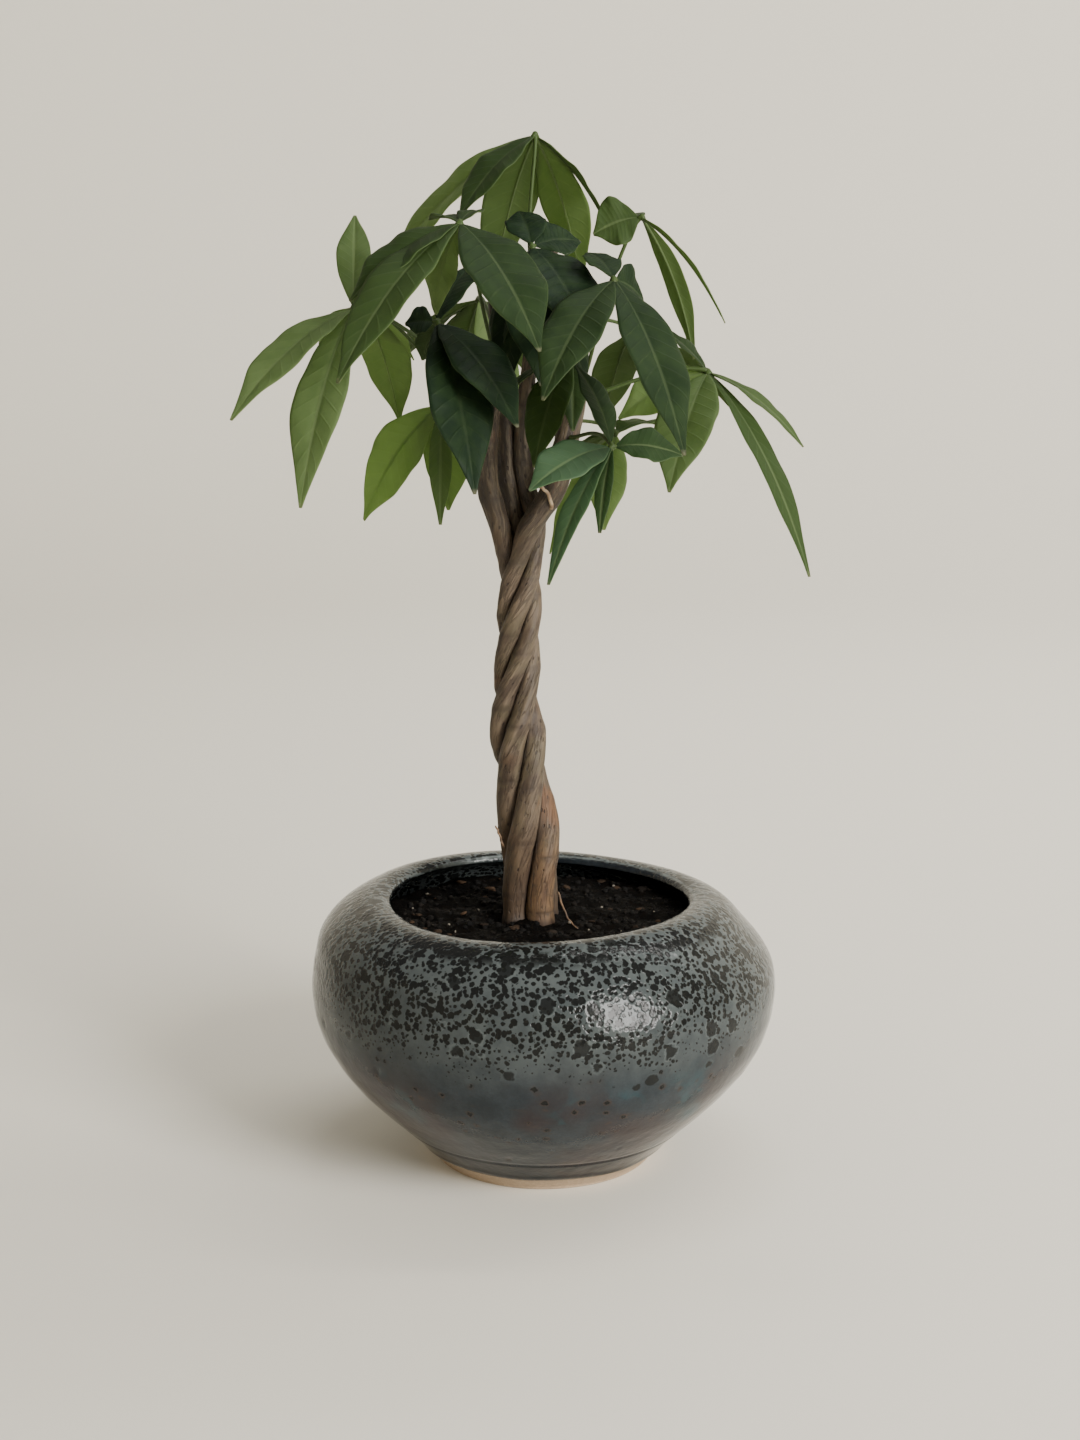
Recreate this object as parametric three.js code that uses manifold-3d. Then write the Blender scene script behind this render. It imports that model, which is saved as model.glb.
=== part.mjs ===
// A small braided money tree (Pachira) standing in a hand-thrown stoneware bowl.
// Millimetres, +Z up. The origin is the centre of the bowl's flat base, and -Y is the side seen first.
// The bowl holds the soil, four slim stems twist round each other and stand in a hole in the soil,
// and every palmate leaf is one solid: a petiole, its knuckle, and the leaflets that droop round it.

import * as THREE from 'three';
import { mergeVertices } from 'three/addons/utils/BufferGeometryUtils.js';
import Module from 'manifold-3d';

// Bowl: heights are above the table, radii are from the bowl's own axis, and a handle is how far the curve
// between two of these sizes keeps its direction.
const BOWL_HEIGHT = 82;
const BELLY_RADIUS = 71;
const BELLY_HEIGHT = 55;
const FOOT_RADIUS = 34.5;
const FOOT_EDGE = 0.8;
const FOOT_BAND = 4.5;
const FOOT_FLARE = 3.5;
const MOUTH_RADIUS = 45.5;
const LIP = 4.5;
const WALL = 6;
const FLOOR = 9;
const CONE_HANDLE = [14.5, 16.5];
const BELLY_HANDLE = 23;
const SHOULDER_HANDLE = 15;
const RIM_HANDLE = 8;
const BOWL_SIDES = 36;
const CURVE_STEPS = 5;

// How far the thrower's hand left the bowl out of round, its rim out of level, and its left shoulder full.
const OUT_OF_ROUND = 0.01;
const RIM_WAVE = 0.9;
const SHOULDER_SHIFT = 2.4;
const SHOULDER_HEIGHT = 74;
const SHOULDER_SPREAD = 8;

// Soil: its level at the wall, how much it mounds round the stems, and how lumpy it is. A gap parts any
// two pieces that rest on each other.
const SOIL_LEVEL = 74.4;
const SOIL_MOUND = 1.2;
const SOIL_RELIEF = 0.5;
const SOIL_HOLE_PLAY = 1;
const SOIL_HOLE_SIDES = 24;
const GAP = 0.3;

// Trunk: its stems turn to the right between these heights, faster towards the top, and part at the split.
// It sways a little: the rows are [height, x of its middle, girth]. Two stems that press on each other stop
// short of the plane between them by half a crevice.
const ROOT_HEIGHT = 52;
const TWIST_FOOT = 80;
const TWIST_HEAD = 198;
const TWIST_TURN = 482;
const TWIST_TIGHTENING = 1.53;
const SPLIT = 186;
const BRAID_RADIUS = 4.0;
const STRAND_RADIUS = 2.95;
const TRUNK = [
  [52, -4.2, 1.28], [80, -4.2, 1.34], [103, -4.6, 1.38], [118, -6.3, 1.2], [130, -7.8, 1.24],
  [145, -8.4, 1.06], [165, -7.4, 0.98], [186, -7.0, 0.96],
];
const CREVICE = 0.36;
const STEM_SIDES = 8;
const STEM_STEP = 5.5;
const FORK_SIDES = 6;
const FORK_STEPS = 8;

// Leaves: a petiole's root is thicker, it starts level and bows upward to its shoulder; a blade starts inside
// the knuckle, and its fold, arch and wave are shares of its half width, length and width.
const PETIOLE_RADIUS = 0.85;
const PETIOLE_SIDES = 5;
const PETIOLE_STEPS = 6;
const PETIOLE_ROOT = 0.5;
const PETIOLE_LEVEL = 0.2;
const PETIOLE_SHOULDER = 0.68;
const PETIOLE_BOW = 0.16;
const KNUCKLE_RADIUS = 2;
const BLADE_THICKNESS = 0.7;
const BLADE_STATIONS = 6;
const BLADE_START = 1.1;
const BLADE_STALK = 0.45;
const BLADE_SKEW = 1.05;
const BLADE_FULLNESS = 0.9;
const BLADE_FOLD = 0.2;
const BLADE_ARCH = 0.07;
const ARCH_PLACE = 0.45;
const BLADE_WAVE = 0.035;
const WAVES = 2.5;

const BARK = { color: 0x6f5f4e, roughness: 0.85 };
const SOIL = { color: 0x1b1613, roughness: 0.95 };
const GLAZE = { color: 0x5c6a70, roughness: 0.25 };

// Each stem: where it stands round the trunk at the split, in degrees, and the points [z, x, y, radius]
// it passes above. The right one forks, and its fork is given from inside it.
const STEMS = {
  left: {
    place: 174,
    top: [[195, -13.0, -1.2, 3.1], [205, -15.8, -3.2, 3.0], [216, -16.8, -4.6, 3.0], [226, -15.8, -5.2, 2.6],
      [234, -13.8, -5.2, 1.3]],
  },
  left_inner: {
    place: 84,
    top: [[196, -8.4, 4.2, 2.9], [210, -10.8, 4.0, 2.6], [226, -11.6, 4.6, 2.4], [244, -13.2, 5.2, 2.0],
      [263, -14.4, 3.6, 1.5]],
  },
  middle: {
    place: -6,
    top: [[196, -2.4, 2.8, 2.8], [210, -5.7, 3.4, 2.8], [228, -5.8, 3.0, 2.4], [252, -2.6, 2.0, 1.9],
      [278, 3.0, 4.4, 1.5]],
  },
  right: {
    place: -96,
    top: [[196, -3.8, -4.6, 3.5], [206, 2.4, -4.8, 3.8], [216, 5.4, -4.8, 3.5], [232, 9.2, -4.2, 2.8],
      [252, 11.0, -4.6, 1.7]],
    fork: [[206, 3.2, -3.6, 1.5], [214, 5.4, 1.2, 2.5], [224, 6.0, 6.2, 2.5], [242, 7.4, 10.4, 2.1],
      [260, 8.6, 12.0, 1.6]],
  },
};

// Each leaf: the stem it grows on, or its fork, the height where it leaves it, its knuckle [x, y, z], its
// green, and its leaflets as [heading, drop, length, width, roll]. Heading 0 points right and 90 away, in
// degrees, drop is the angle below level, and roll tips the blade about its rib.
const DARK = { color: 0x1f3a1d, roughness: 0.45 };
const MID = { color: 0x2f5223, roughness: 0.45 };
const FRESH = { color: 0x4c7428, roughness: 0.45 };
const LEAVES = {
  top: {
    stem: 'middle', height: 268, knuckle: [-2.5, 4, 308], green: MID,
    leaflets: [[-143, 42, 36, 14, 10], [110, 48, 57, 17, 0], [66, 50, 55, 15, 0], [28, 46, 34, 10, -20],
      [157, 39, 66, 16, 45]],
  },
  front_left: {
    stem: 'left_inner', height: 246, knuckle: [-22.9, -34, 281.8], green: MID,
    leaflets: [[-129, 41, 64, 17, 10], [-152, 33, 39, 16, 15], [-55, 42, 51, 21, -10], [120, -4, 18, 7, 0],
      [72, -11, 18, 7, 0], [150, 72, 26, 12, 80]],
  },
  far_left: {
    stem: 'left_inner', height: 236, knuckle: [-54.7, -8, 258.9], green: FRESH,
    leaflets: [[92, -56, 32, 10, 0], [-134, 34, 54, 14, 15], [-112, 58, 64, 16, 0], [60, -18, 32, 12, 0],
      [84, 14, 26, 9, 0]],
  },
  shaded_left: {
    stem: 'left', height: 222, knuckle: [-29.9, -24, 255.1], green: DARK,
    leaflets: [[-70, 54, 56, 18, 0], [-50, 38, 45, 17, -10], [120, 50, 14, 8, 0], [62, -38, 26, 12, 0],
      [175, 4, 9, 10, 50]],
  },
  low_left: {
    stem: 'left', height: 214, knuckle: [-31, 20, 230.5], green: FRESH,
    leaflets: [[152, 52, 46.5, 18, 80], [-90, 68, 38, 7, 0], [108, 32, 28, 11, 0], [80, 76, 34, 15, 0]],
  },
  mid_left: {
    stem: 'left_inner', height: 226, knuckle: [-54.5, 18, 260], green: FRESH,
    leaflets: [[65, 58, 42, 17, 0], [20, 46, 23, 12, 0], [134, 30, 24, 10, 0]],
  },
  centre: {
    stem: 'middle', height: 258, knuckle: [-3.4, -14, 276.1], green: DARK,
    leaflets: [[106, -36, 17, 12, 10], [35, -5, 17, 13, -45], [-60, 40, 41, 19, -10], [-84, 56, 46, 19, 0],
      [-122, 72, 42, 14, 0], [-150, 72, 38, 13, 0], [-45, 62, 45, 14, 0]],
  },
  front_right: {
    stem: 'right', height: 238, knuckle: [19.1, -34, 266.7], green: MID,
    leaflets: [[114, -24, 18, 11, 0], [-118, 37, 52, 17, 10], [-66, 47, 62, 16, 0], [48, 24, 14, 14, -65]],
  },
  high_right: {
    stem: 'right', fork: true, height: 250, knuckle: [28.5, 4, 285], green: MID,
    leaflets: [[180, 20, 15, 16, 65], [42, 61, 47, 7, 20], [-38, 46, 42, 6, 30], [110, 4, 20, 9, 0]],
  },
  far_right: {
    stem: 'right', height: 234, knuckle: [47.7, -4, 241], green: FRESH,
    leaflets: [[150, -34, 25, 9, 0], [-36, 33, 38, 8, 0], [-56, 50, 72, 9, 4], [-113, 45, 46, 18, 0],
      [165, 28, 30, 15, 60]],
  },
  low_right: {
    stem: 'right', height: 222, knuckle: [18.6, -42, 221.8], green: DARK,
    leaflets: [[8, 8, 20, 13, -40], [-138, 19, 32, 15, 25], [-116, 40, 52, 8, -10], [-110, 66, 25, 5, 0],
      [138, -58, 26, 11, 0]],
  },
  low_back: {
    stem: 'right', fork: true, height: 226, knuckle: [22, 18, 222], green: FRESH,
    leaflets: [[150, 34, 28, 12, 0], [-108, 66, 31, 12, 0], [60, 0, 34, 13, 0], [112, 24, 34, 12, 0],
      [-158, 59, 42, 11, 0]],
  },
  inner: {
    stem: 'middle', height: 236, knuckle: [8, -10, 247], green: MID,
    leaflets: [[-122, 58, 38, 14, 0], [-168, 34, 24, 10, 0], [-88, 70, 24, 8, 0]],
  },
  back_left: {
    stem: 'left_inner', height: 252, knuckle: [-20, 38, 262], green: FRESH,
    leaflets: [[148, 34, 40, 15, 0], [105, 44, 46, 17, 0], [66, 34, 40, 15, 0], [30, 50, 32, 11, 0],
      [-60, 72, 50, 15, 0]],
  },
  back_right: {
    stem: 'right', fork: true, height: 255, knuckle: [27, 34, 252], green: MID,
    leaflets: [[24, 34, 42, 15, 0], [62, 30, 50, 17, 0], [104, 44, 42, 15, 0], [-14, 46, 34, 11, -10]],
  },
};

const UP = new THREE.Vector3(0, 0, 1);
const wasm = await Module();
wasm.setup();

// A closed three.js geometry as a solid, and back.
function solidOf(geometry) {
  const bare = new THREE.BufferGeometry().setAttribute('position', geometry.getAttribute('position'));
  bare.setIndex(geometry.index);
  const merged = mergeVertices(bare, 1e-4);
  return new wasm.Manifold(new wasm.Mesh({
    numProp: 3,
    vertProperties: new Float32Array(merged.attributes.position.array),
    triVerts: new Uint32Array(merged.index.array),
  }));
}

function geometryOf(solid) {
  const mesh = solid.getMesh();
  const geometry = new THREE.BufferGeometry();
  geometry.setAttribute('position', new THREE.BufferAttribute(mesh.vertProperties, 3));
  geometry.setIndex(new THREE.BufferAttribute(mesh.triVerts, 1));
  geometry.computeVertexNormals();
  return geometry;
}

function moveVertices(geometry, place) {
  const position = geometry.getAttribute('position');
  const point = new THREE.Vector3();
  for (let i = 0; i < position.count; i += 1) {
    place(point.fromBufferAttribute(position, i));
    position.setXYZ(i, point.x, point.y, point.z);
  }
  return geometry;
}

// A closed tube with flat ends: section(t, angle, share) gives the point at t along it, round it by
// angle, and share of the way out from its middle line.
function tube(sides, steps, section) {
  const cylinder = new THREE.CylinderGeometry(1, 1, 1, sides, steps);
  return moveVertices(cylinder, (p) => {
    p.copy(section(p.y + 0.5, Math.atan2(-p.z, p.x), Math.min(1, Math.hypot(p.x, p.z))));
  });
}

// The bowl's own irregularity, the same for its wall and for the soil inside it. The base stays flat.
function handThrown(p) {
  const turn = Math.atan2(p.y, p.x);
  const up = Math.min(1, p.z / BOWL_HEIGHT);
  const swell = 1 + OUT_OF_ROUND * up * (Math.cos(2 * turn + 0.6) + 0.5 * Math.sin(3 * turn));
  const shoulder = Math.exp(-(((p.z - SHOULDER_HEIGHT) / SHOULDER_SPREAD) ** 2));
  p.x = p.x * swell - SHOULDER_SHIFT * shoulder;
  p.y *= swell;
  p.z += RIM_WAVE * up ** 2 * Math.cos(2 * turn + 1.6);
}

function revolve(points) {
  const lathe = new THREE.LatheGeometry(points, BOWL_SIDES);
  lathe.rotateX(Math.PI / 2);
  return lathe;
}

// Adds the bowl's inner face to a profile, from the mouth down to the floor, shrunk by a clearance.
function insideOf(profile, clearance) {
  const belly = BELLY_RADIUS - WALL - clearance;
  profile.bezierCurveTo(
    MOUTH_RADIUS + 2 * WALL, BOWL_HEIGHT - WALL - clearance,
    belly, BELLY_HEIGHT + SHOULDER_HANDLE - WALL / 2,
    belly, BELLY_HEIGHT,
  );
  profile.bezierCurveTo(
    belly, BELLY_HEIGHT - BELLY_HANDLE + WALL / 2,
    FOOT_RADIUS + CONE_HANDLE[0] - WALL / 2, FLOOR + CONE_HANDLE[1] - WALL,
    FOOT_RADIUS - WALL, FLOOR + clearance,
  );
}

function bowl() {
  const profile = new THREE.Path();
  profile.moveTo(0, 0);
  profile.lineTo(FOOT_RADIUS - FOOT_EDGE, 0);
  profile.lineTo(FOOT_RADIUS, FOOT_EDGE);
  profile.lineTo(FOOT_RADIUS + FOOT_FLARE, FOOT_BAND);
  profile.bezierCurveTo(
    FOOT_RADIUS + FOOT_FLARE + CONE_HANDLE[0], FOOT_BAND + CONE_HANDLE[1],
    BELLY_RADIUS, BELLY_HEIGHT - BELLY_HANDLE,
    BELLY_RADIUS, BELLY_HEIGHT,
  );
  profile.bezierCurveTo(
    BELLY_RADIUS, BELLY_HEIGHT + SHOULDER_HANDLE,
    MOUTH_RADIUS + LIP + RIM_HANDLE, BOWL_HEIGHT,
    MOUTH_RADIUS + LIP, BOWL_HEIGHT,
  );
  profile.quadraticCurveTo(MOUTH_RADIUS, BOWL_HEIGHT, MOUTH_RADIUS, BOWL_HEIGHT - LIP / 2);
  insideOf(profile, 0);
  profile.lineTo(0, FLOOR);
  return moveVertices(revolve(profile.getPoints(CURVE_STEPS)), handThrown);
}

function soil() {
  const profile = new THREE.Path();
  profile.moveTo(0, SOIL_LEVEL + SOIL_MOUND);
  profile.lineTo(MOUTH_RADIUS * 0.5, SOIL_LEVEL + SOIL_MOUND / 2);
  profile.lineTo(MOUTH_RADIUS * 0.8, SOIL_LEVEL);
  profile.lineTo(MOUTH_RADIUS + 2, SOIL_LEVEL);
  insideOf(profile, GAP);
  profile.lineTo(0, FLOOR + GAP);
  const body = moveVertices(revolve(profile.getPoints(CURVE_STEPS).reverse()), (p) => {
    const open = p.z > SOIL_LEVEL - 1 ? 1 : 0;
    p.z += open * SOIL_RELIEF * (Math.sin(p.x / 3 + 1) * Math.cos(p.y / 4) + Math.sin(p.y / 2));
    handThrown(p);
  });
  const [, x, girth] = TRUNK[0];
  const radius = (BRAID_RADIUS + STRAND_RADIUS) * girth + SOIL_HOLE_PLAY;
  const depth = BOWL_HEIGHT - ROOT_HEIGHT;
  const hole = new THREE.CylinderGeometry(radius, radius, depth, SOIL_HOLE_SIDES);
  hole.rotateX(Math.PI / 2);
  hole.translate(x, 0, ROOT_HEIGHT - GAP + depth / 2);
  return geometryOf(solidOf(body).subtract(solidOf(hole)));
}

// A smooth curve through rows that each start with a height: the other numbers, at height z.
function through(rows, z) {
  const last = rows.length - 1;
  let i = 0;
  while (i < last - 1 && rows[i + 1][0] < z) i += 1;
  const span = rows[i + 1][0] - rows[i][0];
  const t = THREE.MathUtils.clamp((z - rows[i][0]) / span, 0, 1);
  const slope = (k, c) => {
    const before = rows[Math.max(k - 1, 0)];
    const after = rows[Math.min(k + 1, last)];
    return (span * (after[c] - before[c])) / (after[0] - before[0]);
  };
  return rows[i].slice(1).map((_, k) => {
    const c = k + 1;
    return (1 + 2 * t) * (1 - t) ** 2 * rows[i][c] + t * (1 - t) ** 2 * slope(i, c)
      + t * t * (3 - 2 * t) * rows[i + 1][c] + t * t * (t - 1) * slope(i + 1, c);
  });
}

// How far the trunk has turned by height z.
function twist(z) {
  const along = THREE.MathUtils.clamp((z - TWIST_FOOT) / (TWIST_HEAD - TWIST_FOOT), 0, 1);
  return THREE.MathUtils.degToRad(TWIST_TURN) * along ** TWIST_TIGHTENING;
}

function inTrunk(stem, z) {
  const turn = THREE.MathUtils.degToRad(stem.place) + twist(z) - twist(SPLIT);
  const [x, girth] = through(TRUNK, z);
  return [
    x + BRAID_RADIUS * girth * Math.cos(turn), BRAID_RADIUS * girth * Math.sin(turn), STRAND_RADIUS * girth];
}

// The middle line and radius of a stem at height z: [x, y, radius].
function stemAt(stem, z) {
  if (z <= SPLIT) return inTrunk(stem, z);
  const rows = [SPLIT - 5, SPLIT].map((h) => [h, ...inTrunk(stem, h)]).concat(stem.top);
  return through(rows, z);
}

const tipOf = (stem) => stem.top[stem.top.length - 1][0];

// How far a stem reaches in a direction at a height: its own radius, or less where a neighbour presses on it.
function reach(stem, z, angle) {
  const [x, y, radius] = stemAt(stem, z);
  let out = radius;
  for (const other of Object.values(STEMS)) {
    if (other === stem || z > tipOf(other) + STEM_STEP) continue;
    const [ox, oy, otherRadius] = stemAt(other, Math.min(z, tipOf(other)));
    const apart = Math.hypot(ox - x, oy - y);
    const facing = ((ox - x) * Math.cos(angle) + (oy - y) * Math.sin(angle)) / apart;
    const wall = apart / 2 + (radius ** 2 - otherRadius ** 2) / (2 * apart) - CREVICE / 2;
    if (facing > 0.01) out = Math.min(out, wall / facing);
  }
  return Math.max(0.2, out);
}

// The sections turn with the trunk, so each stem keeps its shape along the twist.
function stemBody(stem) {
  const tip = tipOf(stem);
  const steps = Math.round((tip - ROOT_HEIGHT) / STEM_STEP);
  const body = solidOf(tube(STEM_SIDES, steps, (t, round, share) => {
    const z = ROOT_HEIGHT + (tip - ROOT_HEIGHT) * t;
    const [x, y] = stemAt(stem, z);
    const angle = round + twist(z);
    const out = reach(stem, z, angle) * share;
    return new THREE.Vector3(x + out * Math.cos(angle), y + out * Math.sin(angle), z);
  }));
  return stem.fork ? geometryOf(body.add(solidOf(forkBody(stem.fork)))) : geometryOf(body);
}

function forkBody(fork) {
  const [low, high] = [fork[0][0], fork[fork.length - 1][0]];
  return tube(FORK_SIDES, FORK_STEPS, (t, angle, share) => {
    const z = low + (high - low) * t;
    const [x, y, radius] = through(fork, z);
    return new THREE.Vector3(x + radius * share * Math.cos(angle), y + radius * share * Math.sin(angle), z);
  });
}

// A thin closed sheet: middle(u, v) gives a point of its middle surface and the normal there, for u from
// 0 to 1 along it and v from -1 to 1 across it. Both faces have the same triangles.
function sheet(across, along, thickness, middle) {
  const plane = new THREE.PlaneGeometry(1, 1, across, along);
  const uv = plane.getAttribute('uv');
  const count = uv.count;
  const points = new Float32Array(count * 6);
  for (let i = 0; i < count; i += 1) {
    const { point, normal } = middle(uv.getY(i), 2 * uv.getX(i) - 1);
    point.clone().addScaledVector(normal, thickness / 2).toArray(points, 3 * i);
    point.clone().addScaledVector(normal, -thickness / 2).toArray(points, 3 * (count + i));
  }
  const front = [...plane.index.array];
  const triangles = [...front];
  const edges = new Map();
  for (let i = 0; i < front.length; i += 3) {
    const [a, b, c] = front.slice(i, i + 3);
    triangles.push(count + a, count + c, count + b);
    for (const [from, to] of [[a, b], [b, c], [c, a]]) {
      if (!edges.delete(`${to} ${from}`)) edges.set(`${from} ${to}`, [from, to]);
    }
  }
  for (const [from, to] of edges.values()) {
    triangles.push(to, from, count + from, to, count + from, count + to);
  }
  const geometry = new THREE.BufferGeometry();
  geometry.setAttribute('position', new THREE.BufferAttribute(points, 3));
  geometry.setIndex(triangles);
  return geometry;
}

// One leaflet: pointed at both ends, folded up along its rib, arched over and waved along its edges.
function leaflet(knuckle, [heading, drop, length, width, roll], index) {
  const compass = THREE.MathUtils.degToRad(heading);
  const fall = THREE.MathUtils.degToRad(drop);
  const out = new THREE.Vector3(Math.cos(compass), Math.sin(compass), 0);
  const chord = out.clone().multiplyScalar(Math.cos(fall)).addScaledVector(UP, -Math.sin(fall));
  const level = new THREE.Vector3().crossVectors(out, UP);
  const lift = new THREE.Vector3().crossVectors(level, chord);
  const side = level.clone().applyAxisAngle(chord, -THREE.MathUtils.degToRad(roll));
  const rib = new THREE.QuadraticBezierCurve3(
    knuckle.clone().addScaledVector(chord, BLADE_START),
    knuckle.clone().addScaledVector(chord, length * ARCH_PLACE)
      .addScaledVector(lift, 2 * BLADE_ARCH * length),
    knuckle.clone().addScaledVector(chord, length),
  );
  return sheet(2, BLADE_STATIONS, BLADE_THICKNESS, (u, v) => {
    const normal = new THREE.Vector3().crossVectors(side, rib.getTangent(u)).normalize();
    const swell = Math.max(0, Math.sin(Math.PI * u ** BLADE_SKEW)) ** BLADE_FULLNESS;
    const half = BLADE_STALK + (width / 2 - BLADE_STALK) * swell;
    const wave = BLADE_WAVE * width * swell * Math.sin(2 * Math.PI * WAVES * u + 2 * index + v);
    const point = rib.getPoint(u).addScaledVector(side, v * half)
      .addScaledVector(normal, Math.abs(v) * (BLADE_FOLD * half + wave));
    return { point, normal };
  });
}

// A petiole leaves the bark level and square to it, a hair clear of it, and rises over to its knuckle.
function petiole(stem, fork, height, knuckle) {
  const [x, y, radius] = fork ? through(stem.fork, height) : stemAt(stem, height);
  const compass = Math.atan2(knuckle.y - y, knuckle.x - x);
  const out = new THREE.Vector3(Math.cos(compass), Math.sin(compass), 0);
  const bark = fork ? radius : reach(stem, height, compass);
  const root = new THREE.Vector3(x, y, height).addScaledVector(out, bark + GAP);
  const far = knuckle.clone().sub(root);
  const line = new THREE.CubicBezierCurve3(
    root,
    root.clone().addScaledVector(out, PETIOLE_LEVEL * far.length()),
    root.clone().addScaledVector(far, PETIOLE_SHOULDER).addScaledVector(UP, PETIOLE_BOW * far.length()),
    knuckle,
  );
  const level = new THREE.Vector3(-out.y, out.x, 0);
  return tube(PETIOLE_SIDES, PETIOLE_STEPS, (t, angle, share) => {
    const rise = new THREE.Vector3().crossVectors(line.getTangent(t), level).normalize();
    const across = PETIOLE_RADIUS * share * (1 + PETIOLE_ROOT * (1 - t) ** 6);
    return line.getPoint(t)
      .addScaledVector(level, across * Math.cos(angle))
      .addScaledVector(rise, across * Math.sin(angle));
  });
}

function leaf({ stem, fork, height, knuckle, leaflets }) {
  const hub = new THREE.Vector3(...knuckle);
  const ball = new THREE.IcosahedronGeometry(KNUCKLE_RADIUS, 0).translate(...knuckle);
  let body = solidOf(petiole(STEMS[stem], fork, height, hub)).add(solidOf(ball));
  leaflets.forEach((blade, index) => {
    body = body.add(solidOf(leaflet(hub, blade, index)));
  });
  return geometryOf(body).translate(-hub.x, -hub.y, -hub.z);
}

function piece(name, geometry, finish) {
  const mesh = new THREE.Mesh(geometry, new THREE.MeshStandardMaterial({ ...finish, metalness: 0 }));
  mesh.name = name;
  return mesh;
}

const tree = new THREE.Group();
for (const [name, stem] of Object.entries(STEMS)) {
  tree.add(piece(`stem_${name}`, stemBody(stem), BARK));
}
for (const [name, spec] of Object.entries(LEAVES)) {
  const mesh = piece(`leaf_${name}`, leaf(spec), spec.green);
  mesh.position.set(...spec.knuckle);
  tree.add(mesh);
}

const plant = new THREE.Group();
plant.add(piece('bowl', bowl(), GLAZE));
plant.add(piece('soil', soil(), SOIL));
plant.add(tree);

export default plant;
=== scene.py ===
"""The looks of a small braided money tree in a glazed stoneware bowl, in Blender, around its CAD frame.

Sizes are in millimetres until a mesh is made. The origin is the centre of the bowl's base, +Z is up, and
-Y is the side seen first.
"""

import math

import bmesh
import bpy
import numpy as np
from mathutils import Euler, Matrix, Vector, noise


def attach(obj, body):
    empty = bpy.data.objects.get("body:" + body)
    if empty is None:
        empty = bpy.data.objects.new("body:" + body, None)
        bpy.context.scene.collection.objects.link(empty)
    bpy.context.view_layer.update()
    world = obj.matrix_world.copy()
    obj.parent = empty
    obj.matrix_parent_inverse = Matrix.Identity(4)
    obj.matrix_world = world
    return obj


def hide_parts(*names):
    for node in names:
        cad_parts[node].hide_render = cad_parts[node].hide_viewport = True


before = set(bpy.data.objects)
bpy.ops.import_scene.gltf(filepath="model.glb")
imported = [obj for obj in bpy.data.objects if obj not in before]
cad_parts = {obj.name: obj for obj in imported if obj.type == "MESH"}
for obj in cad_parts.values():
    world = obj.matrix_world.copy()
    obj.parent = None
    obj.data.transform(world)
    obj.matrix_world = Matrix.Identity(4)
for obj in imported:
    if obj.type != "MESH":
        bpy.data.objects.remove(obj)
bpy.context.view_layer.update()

# The bowl is one piece of stoneware, thrown on a wheel, dipped in a glaze that broke into dark spots as it
# was fired, and wiped bare at the foot. It stands by itself and holds everything else.

MM = 0.001
BOWL_HEIGHT = 82
BELLY_RADIUS = 71
BELLY_HEIGHT = 55
FOOT_RADIUS = 34.5
FOOT_EDGE = 0.8
FOOT_BAND = 4.5
FOOT_FLARE = 3.5
MOUTH_RADIUS = 45.5
LIP = 4.5
WALL = 6
FLOOR = 9
CONE_HANDLE = (14.5, 16.5)
BELLY_HANDLE = 23
SHOULDER_HANDLE = 15
RIM_HANDLE = 8
OUT_OF_ROUND = 0.01
OVAL_TURN = 0.6
THREE_SIDED = 0.5
RIM_WAVE = 0.9
RIM_TURN = 1.6
SHOULDER_SHIFT = 2.4
SHOULDER_HEIGHT = 74
SHOULDER_SPREAD = 8

BOWL_SIDES = 400
SKIN_SPACING = 0.9
EDGE_SPACING = 0.3
BAND_SPACING = 0.4
LIP_SPACING = 0.5
INNER_SPACING = 2.5
HIDDEN_SPACING = 5
GLAZE_LINE = 4.6
LINE_WAVES = ((0.35, 3, 1), (0.2, 8, 0))
GLAZE_EDGE = 0.8
GLAZE_THICKNESS = 0.45
GLAZE_THIN = 0.7
GLAZE_ROLL = 0.6
ROLL_HEIGHT = 0.9
THROWING_RINGS = (7.5, 0.035)
RINGS_RISE = (8, 18)
UNDULATION = (17, 0.24)
PITS = 34
PIT_HEIGHTS = (14, 74)
PIT_SIZES = (0.8, 1.5)
PIT_DEPTH = 0.30

MESH_GREY = (0.056, 0.065, 0.064)
SLATE = (0.017, 0.022, 0.026)
CHARCOAL = (0.0064, 0.0070, 0.0067)
PLUM = (0.026, 0.019, 0.020)
TEAL = (0.015, 0.050, 0.060)
RUST = (0.040, 0.026, 0.019)
BARE_CLAY = (0.45, 0.34, 0.235)
INNER_DARK = (0.007, 0.009, 0.011)
RIM_PALE = (0.14, 0.16, 0.155)
SMALL_SPOTS = 1.5
COARSE_SPOTS = 3.1
ROUND_SPOTS = 9.5
PIT_SPOTS = 5.2
RIM_PATCHES = 5.5
PATCH_REACH = (61, 57)

# Heights between which each of these comes in, from none of it to all of it.
CROWDED = (43, 63)
ONLY_SMALL = (46, 38)
PLUM_CLOUDS = (60, 24)
TEAL_SHEEN = (52, 36)
GREY_VEIL = (38, 62)
PALE_SHOULDER = (66, 79)
SINGED_PITS = (52, 40)
RUST_SMEARS = (50, 30)
DARK_FOOT = (14, 7)
PATCHES_BOTTOM = (76.5, 78.5)
PATCHES_TOP = (81.3, 80.6)
LIP_SHEEN = (79, 81)


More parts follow.
